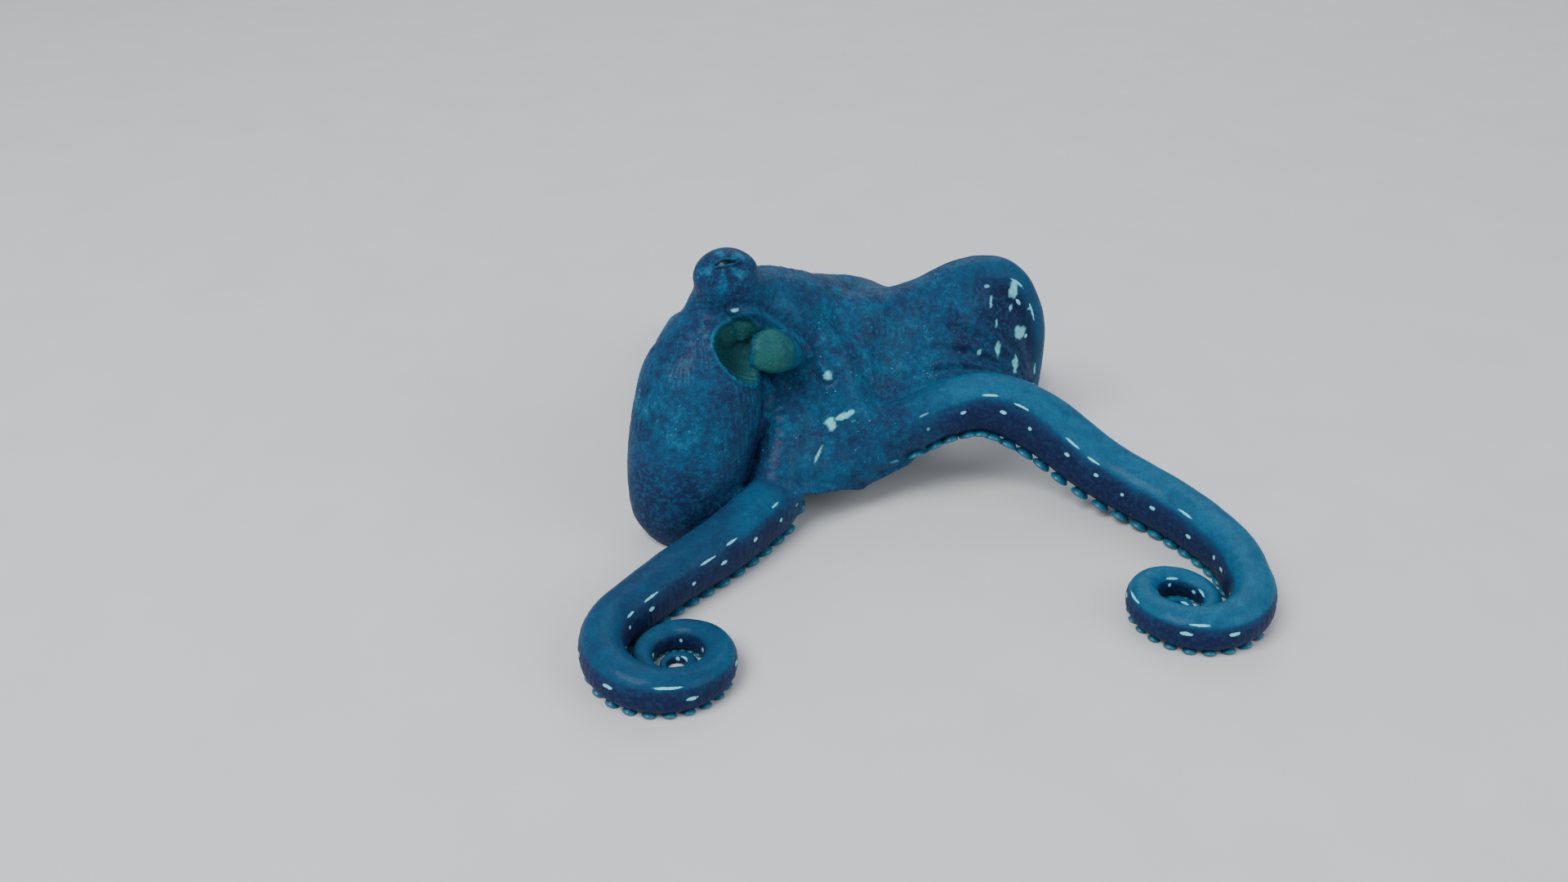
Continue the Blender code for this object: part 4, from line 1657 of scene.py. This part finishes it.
        # Painted shade in broad patches, and broad pale blotches.
        painted_shade_patch = np.max([spot.cover(points, 1.2) for spot in SHADE_PATCHES], axis=0)
        shade = np.maximum(shade * (1 - 0.5 * olive), 0.7 * painted_shade_patch * (1 - lit_top))
        pale = pale * (1 - 0.8 * painted_shade_patch * (1 - lit_top))
        light = np.max([spot.cover(points, 1.2) for spot in PALE], axis=0)
        pale = np.maximum(pale, light * (0.5 + 0.5 * mottle))
        pale = np.maximum(pale, 0.85 * rims)
        # Painted shade inside the opening.
        shade = np.maximum(shade, 0.45 * ramp(inside, 0.9, 0.6))
        olive = olive * (1 - 0.6 * rims) * (0.7 + 0.3 * mottle)
        # The ridge over the siphon, with a painted highlight on its crest and painted shade beside it;
        # painted shade in the groove beside the mantle; and the eyes.
        crest = distance_to(points, self.drawn(self.ridge))
        pale = np.maximum(pale, 0.75 * ramp(crest, 2.4, 0.8) * (0.4 + 0.6 * mottle))
        shade = np.maximum(shade, 0.5 * ramp(crest, 7.5, 5.0) * ramp(crest, 2.2, 3.6))
        groove = distance_to(points, self.drawn(self.crease))
        shade = np.maximum(shade, 0.75 * ramp(groove, 6.5, 2.0))
        for eye in self.body.eyes:
            star, dark = self.star(eye, points)
            pale = np.maximum(pale * (1 - dark), star)
            shade = np.maximum(shade, 0.6 * dark)
        for name, values in (
            ("along", places.along),
            ("angle", angle),
            ("arm", places.arm * ARM_PHASE),
            ("pale", pale),
            ("shade", shade),
            ("olive", olive),
            ("half", places.half),
            ("dashes", free),
            ("specks", (0.25 + 0.6 * crown + 0.5 * speckled) * (1 - olive) * (1 - free)),
            ("rugged", 1 - 0.8 * free),
            ("mark", 0.85 * np.max([spot.cover(points) for spot in SPOTS], axis=0)),
        ):
            self.hide.note(name, values)

    def dress(self, material: Material) -> Object:
        """Makes the skin an object with its material.

        Args:
            material: The skin's finish.

        Returns:
            The object.
        """
        self.paint()
        self.hide.data.shade_smooth()
        self.hide.data.materials.clear()
        self.hide.data.materials.append(material)
        return added("skin", self.hide.data)


# ---- finishes ----
def linear(code: str) -> tuple[float, float, float, float]:
    """Turns an sRGB colour to a linear one.

    Args:
        code: A hex code such as #1a577c.

    Returns:
        Red, green, blue and alpha.
    """
    parts = [int(code[i : i + 2], 16) / 255 for i in (1, 3, 5)]
    low = [p / 12.92 if p <= 0.04045 else ((p + 0.055) / 1.055) ** 2.4 for p in parts]
    return (low[0], low[1], low[2], 1.0)


def per_metre(millimetres: float) -> float:
    """Gives the scale of a pattern whose cells are this wide, on coordinates in metres."""
    return 1 / (millimetres * MM)


def new_material(name: str) -> tuple[Material, "Patch", Node]:
    """Makes a material.

    Args:
        name: What the real stuff is.

    Returns:
        The material, a patch to draw it with, and its Principled shader.
    """
    material = bpy.data.materials.new(name)
    material.use_nodes = True
    tree = material.node_tree
    return material, Patch(tree), tree.nodes["Principled BSDF"]


def add_node(
    tree: NodeTree, kind: str, inputs: dict[Any, Any] | None = None, **settings: Any
) -> Node:
    """Adds a node with its settings and links.

    Args:
        tree: Where to add it.
        kind: Its type, such as ShaderNodeMath.
        inputs: For each input, by name or number, a socket to link or a constant.
        **settings: The node's own properties.

    Returns:
        The node.
    """
    made = tree.nodes.new(kind)
    for name, value in settings.items():
        setattr(made, name, value)
    for key, value in (inputs or {}).items():
        if isinstance(value, NodeSocket):
            tree.links.new(value, made.inputs[key])
        else:
            made.inputs[key].default_value = value
    return made


@dataclass
class Patch:
    """Builds up a colour and a height in one node tree.

    Attributes:
        tree: The material's node tree.
        place: Where the surface is, in metres.
    """

    tree: NodeTree
    place: NodeSocket = field(init=False)

    def __post_init__(self) -> None:
        """Adds the node that gives the place."""
        self.place = add_node(self.tree, "ShaderNodeTexCoord").outputs["Object"]

    def value(self, name: str) -> NodeSocket:
        """Reads a number that the mesh stores for each point."""
        return add_node(self.tree, "ShaderNodeAttribute", attribute_name=name).outputs["Fac"]

    def span(self, value: Any, low: float, high: float) -> NodeSocket:
        """Goes smoothly from 0 at low to 1 at high."""
        span = {"Value": value, "From Min": low, "From Max": high}
        return add_node(self.tree, "ShaderNodeMapRange", span, interpolation_type="SMOOTHSTEP").outputs[0]

    def math(self, how: str, first: Any, second: Any, third: Any = 0.0) -> NodeSocket:
        """Combines two numbers, or three."""
        inputs = {0: first, 1: second, 2: third}
        return add_node(self.tree, "ShaderNodeMath", inputs, operation=how).outputs[0]

    def clouds(self, size: float, detail: float, rough: float = 0.55) -> NodeSocket:
        """Draws soft noise with blobs of this size in millimetres, and finer noise on them."""
        blobs = {"Vector": self.place, "Scale": per_metre(size), "Detail": detail, "Roughness": rough}
        return add_node(self.tree, "ShaderNodeTexNoise", blobs).outputs["Fac"]

    def cells(self, size: float) -> NodeSocket:
        """Gives the distance from the edges of cells of this size in millimetres."""
        net = {"Vector": self.place, "Scale": per_metre(size)}
        return add_node(self.tree, "ShaderNodeTexVoronoi", net, feature="DISTANCE_TO_EDGE").outputs[0]

    def mixed(self, first: Any, second: Any, share: Any) -> NodeSocket:
        """Mixes two colours.

        Args:
            first: A hex code or a socket.
            second: The same.
            share: How much of the second.

        Returns:
            The mixed colour.
        """
        colours = [linear(c) if isinstance(c, str) else c for c in (first, second)]
        inputs = {0: share, 6: colours[0], 7: colours[1]}
        return add_node(self.tree, "ShaderNodeMix", inputs, data_type="RGBA").outputs[2]

    def raised(self, height: Any, depth: float, under: Any = None) -> NodeSocket:
        """Turns a height into relief.

        Args:
            height: From 0 to 1.
            depth: How deep that is, in millimetres.
            under: Relief that it lies on.

        Returns:
            The direction out of the surface.
        """
        inputs = {"Height": height, "Distance": depth * MM, "Strength": 1.0}
        if under is not None:
            inputs["Normal"] = under
        return add_node(self.tree, "ShaderNodeBump", inputs).outputs["Normal"]

    def dress(self, shader: Node, colour: NodeSocket, relief: NodeSocket) -> None:
        """Gives a shader its colour and its relief."""
        self.tree.links.new(colour, shader.inputs["Base Color"])
        self.tree.links.new(relief, shader.inputs["Normal"])


@dataclass(frozen=True)
class DashRow:
    """A row of white dashes along the arms' flanks.

    Attributes:
        turn: Where the row is, in radians round the arm from its upper side.
        apart: Millimetres from one dash to the next.
        half_length: Half a dash, along the arm.
        half_width: Half a dash, round the arm.
        drift: How far a dash strays from the row, in radians.
    """

    turn: float
    apart: float
    half_length: float
    half_width: float
    drift: float = 0.11


def flesh(shader: Node, weight: float, depth: float) -> None:
    """Lets light into a finish, as wet flesh does.

    Args:
        shader: Its Principled shader.
        weight: How much light goes in.
        depth: How far it goes, in metres.
    """
    shader.inputs["Subsurface Weight"].default_value = weight
    shader.inputs["Subsurface Radius"].default_value = (0.5, 0.9, 1.0)
    shader.inputs["Subsurface Scale"].default_value = depth


@dataclass(frozen=True)
class WetSkin:
    """Octopus skin: slack and wet, coloured by pigment cells a fraction of a millimetre wide.

    The eye sees a blue-teal ground in clouds, a net of shallow grooves between small raised
    patches with painted shade in them, pale mottling where the pigment cells are closed, paler
    arm tops and darker flanks that are painted light and shade, and a film of slime that glints.
    """

    ground: str = "#1a4264"
    deep: str = "#182448"
    pale: str = "#1d688a"
    shadow: str = "#161e42"
    olive: str = "#22605a"
    white: str = "#86e9f3"
    blotch: float = 20.0  # mm
    mottle: float = 6.5  # mm
    patch: float = 3.1  # mm: real ones are 1.5 to 4
    fine: float = 2.6  # mm
    grain: float = 0.9  # mm: groups of pigment cells, drawn coarser than life so that they show
    rows: tuple[DashRow, DashRow] = (DashRow(0.80, 29.0, 4.6, 0.75), DashRow(1.30, 23.0, 1.9, 1.3))

    def build(self) -> Material:
        """Makes the material.

        Returns:
            The material.
        """
        material, work, shader = new_material("octopus_skin_wet")
        math, mixed, value = work.math, work.mixed, work.value
        blotch = work.span(work.clouds(self.blotch, 3), 0.36, 0.64)
        mottle = work.span(work.clouds(self.mottle, 4, 0.62), 0.40, 0.62)
        rugged = value("rugged")
        net = math("SUBTRACT", 1.0, work.span(work.cells(self.patch), 0.0, 0.16))
        groove = math("SUBTRACT", 1.0, math("MULTIPLY", rugged, net))
        grain = work.span(work.clouds(self.grain, 2, 0.6), 0.35, 0.65)
        colour = mixed(self.deep, self.ground, math("MULTIPLY_ADD", blotch, 0.75, 0.2))
        even = math("MULTIPLY_ADD", rugged, -0.38, 0.78)
        pale = math("MULTIPLY_ADD", mottle, math("SUBTRACT", 1.0, even), even)
        # The stored pale and shade carry the skin's mottling and also painted light and shade.
        colour = mixed(colour, self.pale, math("MULTIPLY", value("pale"), pale))
        colour = mixed(colour, self.shadow, value("shade"))
        fine = work.span(work.clouds(self.fine, 3, 0.65), 0.44, 0.66)
        rough_skin = math("MULTIPLY_ADD", rugged, 0.34, 0.10)
        colour = mixed(colour, self.pale, math("MULTIPLY", fine, rough_skin))
        dark = work.span(work.clouds(self.fine * 1.7, 3, 0.65), 0.50, 0.68)
        colour = mixed(colour, self.deep, math("MULTIPLY", dark, rough_skin))
        colour = mixed(colour, self.olive, value("olive"))
        # Painted shade in the grooves of the net between the raised patches.
        sunk = math("SUBTRACT", 1.0, groove)
        colour = mixed(colour, self.shadow, math("MULTIPLY", sunk, 0.16))
        colour = mixed(colour, self.shadow, math("MULTIPLY", grain, 0.22))
        colour = mixed(colour, self.white, self.marks(work))
        relief = work.raised(math("MULTIPLY", mottle, rugged), 0.30)
        relief = work.raised(groove, 0.08, relief)
        work.dress(shader, colour, work.raised(grain, 0.04, relief))
        rough = math("MULTIPLY_ADD", grain, 0.14, 0.47)
        work.tree.links.new(rough, shader.inputs["Roughness"])
        flesh(shader, 0.10, 0.003)
        shader.inputs["IOR"].default_value = 1.36
        shader.inputs["Specular IOR Level"].default_value = 0.10
        shader.inputs["Coat Weight"].default_value = 0.06
        shader.inputs["Coat Roughness"].default_value = 0.16
        return material

    def row(self, work: Patch, row: DashRow) -> NodeSocket:
        """Draws a row of white dashes along each flank of every arm.

        Args:
            work: The tree to draw in.
            row: The row's sizes.

        Returns:
            1 on a dash and 0 off it.
        """
        math = work.math
        along = math("DIVIDE", math("ADD", work.value("along"), work.value("arm")), row.apart)
        cell = math("FLOOR", along, 0.0)
        seed = add_node(work.tree, "ShaderNodeCombineXYZ", {0: cell, 1: row.turn}).outputs[0]
        kind = "ShaderNodeTexWhiteNoise"
        noise = add_node(work.tree, kind, {"Vector": seed}, noise_dimensions="3D").outputs["Color"]
        chance = add_node(work.tree, "ShaderNodeSeparateColor", {0: noise}).outputs
        slip = math("MULTIPLY_ADD", chance[0], 0.5, 0.25)
        far = math("SUBTRACT", math("SUBTRACT", along, cell), slip)
        length = math("MULTIPLY_ADD", chance[2], 0.9, 0.5)
        far = math("DIVIDE", math("MULTIPLY", far, row.apart / row.half_length), length)
        angle = work.value("angle")
        drift = math("MULTIPLY_ADD", chance[1], 2 * row.drift, row.turn - row.drift)
        side = math("SUBTRACT", angle, drift)
        side = math("DIVIDE", math("MULTIPLY", side, work.value("half")), row.half_width)
        away = math("ADD", math("MULTIPLY", far, far), math("MULTIPLY", side, side))
        away = math("POWER", away, 0.5)
        away = math("MULTIPLY_ADD", work.clouds(2.0, 2), 0.9, math("SUBTRACT", away, 0.45))
        return math("MULTIPLY", work.span(away, 1.0, 0.7), work.span(chance[2], 0.14, 0.16))

    def marks(self, work: Patch) -> NodeSocket:
        """Draws the white marks: rows of dashes on the arms' flanks, and those on the mesh.

        Args:
            work: The tree to draw in.

        Returns:
            From 0 to 1, where the skin is white.
        """
        math = work.math
        dash = math("MAXIMUM", *(self.row(work, row) for row in self.rows))
        dash = math("MULTIPLY", dash, work.value("dashes"))
        speck = work.span(work.clouds(1.5, 3, 0.7), 0.62, 0.70)
        speck = math("MULTIPLY", speck, work.span(work.clouds(10.0, 4, 0.7), 0.50, 0.60))
        speck = math("MULTIPLY", math("MULTIPLY", speck, 0.5), work.value("specks"))
        marks = math("MAXIMUM", math("MAXIMUM", dash, speck), work.value("mark"))
        return math("MULTIPLY", marks, math("MULTIPLY_ADD", work.clouds(1.2, 2), 0.5, 0.6))


@dataclass(frozen=True)
class SuckerFlesh:
    """Sucker rims: smooth, pale and slightly translucent muscle, darker inside the cup."""

    rim: str = "#1c6a84"
    cup: str = "#0a3050"
    grain: float = 0.8  # mm

    def build(self) -> Material:
        """Makes the material.

        Returns:
            The material.
        """
        material, work, shader = new_material("sucker_muscle")
        colour = work.mixed(self.cup, self.rim, work.span(work.value("rim"), 0.25, 0.85))
        spots = work.span(work.clouds(self.grain, 2), 0.40, 0.66)
        colour = work.mixed(colour, self.cup, work.math("MULTIPLY", spots, 0.35))
        work.dress(shader, colour, work.raised(spots, 0.06))
        shader.inputs["Roughness"].default_value = 0.38
        shader.inputs["IOR"].default_value = 1.38
        shader.inputs["Coat Weight"].default_value = 0.25
        flesh(shader, 0.15, 0.002)
        return material


@dataclass(frozen=True)
class EyeGlobe:
    """A clear cornea over a blue-grey iris of fine threads and a black bar of a pupil."""

    iris: str = "#1c5a70"
    thread: str = "#08202e"
    pupil: str = "#020305"

    def build(self) -> Material:
        """Makes the material.

        Returns:
            The material.
        """
        material, work, shader = new_material("eye_iris_under_cornea")
        threads = work.span(work.clouds(0.7, 3, 0.7), 0.35, 0.68)
        colour = work.mixed(self.iris, self.thread, work.math("MULTIPLY", threads, 0.8))
        bar = work.span(work.value("bar"), 1.08, 0.94)
        colour = work.mixed(colour, self.pupil, bar)
        work.dress(shader, colour, work.raised(threads, 0.05))
        shader.inputs["Roughness"].default_value = 0.25
        shader.inputs["IOR"].default_value = 1.38
        shader.inputs["Specular IOR Level"].default_value = 0.3
        shader.inputs["Coat Weight"].default_value = 0.15
        shader.inputs["Coat Roughness"].default_value = 0.05
        return material


@dataclass(frozen=True)
class PaleFloor:
    """Painted board: matt, with a faint unevenness from the roller."""

    paint: str = "#d5d8da"
    shade: str = "#cccfd2"

    def build(self) -> Material:
        """Makes the material.

        Returns:
            The material.
        """
        material, work, shader = new_material("painted_board")
        colour = work.mixed(self.paint, self.shade, work.clouds(60.0, 2))
        work.dress(shader, colour, work.raised(work.clouds(1.5, 2), 0.02))
        shader.inputs["Roughness"].default_value = 0.75
        return material


# ---- suckers and eyes ----
def new_piece(name: str, shell: Shell, material: Material) -> Object:
    """Makes a smooth-shaded object from a shell.

    Args:
        name: What it is.
        shell: Its mesh, in millimetres.
        material: Its finish.

    Returns:
        The object.
    """
    obj = shell.to_object(name)
    obj.data.shade_smooth()
    obj.data.materials.append(material)
    return obj


@dataclass
class Suckers:
    """The two rows of suckers under one arm.

    Attributes:
        arm: Their arm.
        first: Where the rows start, from the crown.
        width: A sucker's width as a share of the arm's half depth.
        apart: Between suckers in a row, as a share of their width.
        lean: Radians from the middle of the underside to each row.
        smallest: The least width.
        profile: From the stalk out over the rim and down into the cup: radius and height as
            shares of the sucker's half width, and 1 where the surface is the pale rim.
    """

    arm: Arm
    first: float = 4.0
    width: float = 0.62
    apart: float = 1.12
    lean: float = 0.52
    smallest: float = 0.8
    profile: tuple[tuple[float, float, float], ...] = (
        (0.50, -0.40, 0.3),
        (0.60, 0.05, 0.4),
        (0.88, 0.30, 0.8),
        (1.00, 0.50, 1.0),
        (0.93, 0.66, 1.0),
        (0.74, 0.62, 0.8),
        (0.50, 0.40, 0.4),
        (0.34, 0.28, 0.2),
        (0.26, 0.02, 0.0),
    )

    def seats(self) -> list[tuple[Array, Array, Array, float]]:
        """Places the suckers along the arm.

        Returns:
            Each one's place, direction, sideways direction and half width.
        """
        seats = []
        along, row = self.first, 1
        while along < self.arm.length - 3:
            middle, over, across, half = self.arm.frame(along)
            size = max(self.width * half, self.smallest)
            angle = pi - row * self.lean
            radius = float(self.arm.reach(angle)) * half
            out = over * cos(angle) + across * sin(angle)
            tilt = pi - row * self.lean * 0.75
            facing = over * cos(tilt) + across * sin(tilt)
            seats.append((middle + out * (radius - 0.02 * size), facing, across, size / 2))
            along += size * self.apart / 2
            row = -row
        return seats

    def build(self, material: Material) -> Object:
        """Builds all the suckers of the arm as one piece.

        Args:
            material: Their finish.

        Returns:
            The piece.
        """
        points: list[Array] = []
        faces: list[tuple[int, ...]] = []
        rims: list[float] = []
        start = 0
        for place, facing, across, half in self.seats():
            sides = 14 if half > 2 else 9
            over = unit(np.cross(facing, across))
            side = np.cross(over, facing)
            angle = tau * np.arange(sides)[:, None] / sides
            wheel = over * np.cos(angle) + side * np.sin(angle)
            for radius, height, rim in self.profile:
                points.append(place + wheel * radius * half + facing * height * half)
                rims += [rim] * sides
            points.append((place + facing * -0.02 * half)[None])
            rims.append(0.0)
            for level in range(len(self.profile) - 1):
                low = start + level * sides
                for i in range(sides):
                    j = (i + 1) % sides
                    faces.append((low + i, low + j, low + sides + j, low + sides + i))
            last = start + (len(self.profile) - 1) * sides
            middle = start + len(self.profile) * sides
            faces += [(last + i, last + (i + 1) % sides, middle) for i in range(sides)]
            faces.append(tuple(start + i for i in reversed(range(sides))))
            start = middle + 1
        rows = np.vstack(points)
        rows[:, 2] = np.maximum(rows[:, 2], 0.05)  # just clear of the floor
        obj = new_piece(f"suckers_{self.arm.name}", Shell(rows, faces), material)
        Hide(obj.data).note("rim", rims)
        return obj


@dataclass
class Globe:
    """One eyeball, with a cornea that stands a little proud.

    Attributes:
        eye: Its eye.
        segments: Points in each ring.
        rings: How many rings.
        bar: Half the pupil's length and height, as shares of the radius.
        cornea: How far the cornea stands out.
    """

    eye: Eye
    segments: int = 64
    rings: int = 40
    bar: tuple[float, float] = (0.62, 0.17)
    cornea: float = 0.35

    def build(self, material: Material) -> Object:
        """Builds the eyeball.

        Args:
            material: Its finish.

        Returns:
            The piece.
        """
        level, up, look = self.eye.axes()
        radius = self.eye.radius
        rings = []
        for angle in np.linspace(0.03, pi - 0.03, self.rings):
            bulge = radius + self.cornea * float(ramp(angle, 0.7, 0.2))
            turn = tau * np.arange(self.segments)[:, None] / self.segments
            wheel = level * np.cos(turn) + up * np.sin(turn)
            rings.append(self.eye.centre + (look * cos(angle) + wheel * sin(angle)) * bulge)
        shell = Shell.loft(rings)
        away = (shell.points - self.eye.centre) / radius
        high = (away @ up + self.eye.slit_low / radius) / self.bar[1]
        along = (away @ level) / self.bar[0]
        behind = away @ look < 0
        bar = (np.abs(along) ** 3 + np.abs(high) ** 3) ** (1 / 3) + 9.0 * behind
        obj = new_piece(f"eyeball_{self.eye.side.value}", shell, material)
        Hide(obj.data).note("bar", bar)
        return obj


# ---- setting ----
@dataclass(frozen=True)
class Placement:
    """Turns the animal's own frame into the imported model's frame."""

    shift: Vector

    @classmethod
    def from_eye(cls, eye: Eye) -> "Placement":
        """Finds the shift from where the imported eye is."""
        low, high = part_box(f"eye_{eye.side.value}")
        return cls((Vector(low) + Vector(high)) / 2 - Vector(eye.centre * MM))

    def place(self, obj: Object) -> None:
        """Moves an object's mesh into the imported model's frame."""
        obj.data.transform(Matrix.Translation(self.shift))


@dataclass(frozen=True)
class Lamp:
    """A square soft light that shines on the animal.

    Attributes:
        name: What it is for.
        place: Where it hangs, in metres.
        size: Its side, in metres.
        power: In watts.
    """

    name: str
    place: Point
    size: float
    power: float


@dataclass
class Setting:
    """The floor, the lights and the camera.

    Attributes:
        placement: Where the animal's own frame lies.
        lens: The camera's focal length, in millimetres.
        viewpoint: Where it stands in the animal's frame, in metres.
        tilt: How far it is raised from looking straight down, in degrees.
        lamps: The lights.
        aim: What they shine on.
        glow: The strength of the light from all round.
        floor_reach: How far the floor reaches from its middle, in metres.
    """

    placement: Placement
    lens: float = 32
    viewpoint: Point = (0, -0.6651, 0.434)
    tilt: float = 60
    lamps: tuple[Lamp, ...] = (
        Lamp("key", (-1.3, -1.3, 2.4), 1.6, 88),
        Lamp("fill", (2.2, -1.2, 1.5), 2.0, 32),
        Lamp("back", (0.3, 2.2, 1.9), 2.0, 22),
    )
    aim: Point = (0, 0, 0.05)
    glow: float = 0.42
    floor_reach: float = 40.0

    def camera(self) -> None:
        """Looks down on the animal's right side."""
        data = bpy.data.cameras.new("camera")
        data.lens = self.lens
        data.clip_start = 0.01
        obj = added("camera", data)
        obj.location = Vector(self.viewpoint) + self.placement.shift
        obj.rotation_euler = (radians(self.tilt), 0, 0)
        bpy.context.scene.camera = obj

    def lights(self) -> None:
        """Hangs soft studio lights."""
        for lamp in self.lamps:
            data = bpy.data.lights.new(lamp.name, "AREA")
            data.size = lamp.size
            data.energy = lamp.power
            obj = added(lamp.name, data)
            obj.location = lamp.place
            aim = Vector(self.aim) - Vector(lamp.place)
            obj.rotation_euler = aim.to_track_quat("-Z", "Y").to_euler()
        world = bpy.data.worlds.new("studio")
        world.use_nodes = True
        background = world.node_tree.nodes["Background"]
        background.inputs["Color"].default_value = (0.9, 0.93, 1, 1)
        background.inputs["Strength"].default_value = self.glow
        bpy.context.scene.world = world

    def floor(self) -> None:
        """Lays the floor."""
        mesh = bpy.data.meshes.new("floor")
        far = self.floor_reach
        corners = [(-far, -far, 0), (far, -far, 0), (far, far, 0), (-far, far, 0)]
        mesh.from_pydata(corners, [], [(0, 1, 2, 3)])
        obj = added("floor", mesh)
        mesh.materials.append(PaleFloor().build())


def main() -> None:
    """Builds the animal and its setting."""
    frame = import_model()
    octopus = Octopus()
    octopus.plan()
    octopus.fuse()
    placement = Placement.from_eye(octopus.body.eyes[0])
    skin = octopus.dress(WetSkin().build())
    placement.place(skin)
    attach(skin, "root")
    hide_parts(*(name for name in frame["nodes"] if not name.startswith("eye_")))
    LOG.info("skin: %d points, %d faces", len(skin.data.vertices), len(skin.data.polygons))
    cornea = EyeGlobe().build()
    for eye in octopus.body.eyes:
        globe = Globe(eye).build(cornea)
        placement.place(globe)
        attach(globe, "root")
        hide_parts(f"eye_{eye.side.value}")
        LOG.info("%s built", globe.name)
    muscle = SuckerFlesh().build()
    for arm in octopus.arms:
        row = Suckers(arm).build(muscle)
        placement.place(row)
        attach(row, "root")
        LOG.info("%s: %d faces", row.name, len(row.data.polygons))
    setting = Setting(placement)
    setting.camera()
    setting.lights()
    setting.floor()


if __name__ == "__main__":
    logging.basicConfig(level=logging.INFO, format="%(name)s: %(message)s")
    main()
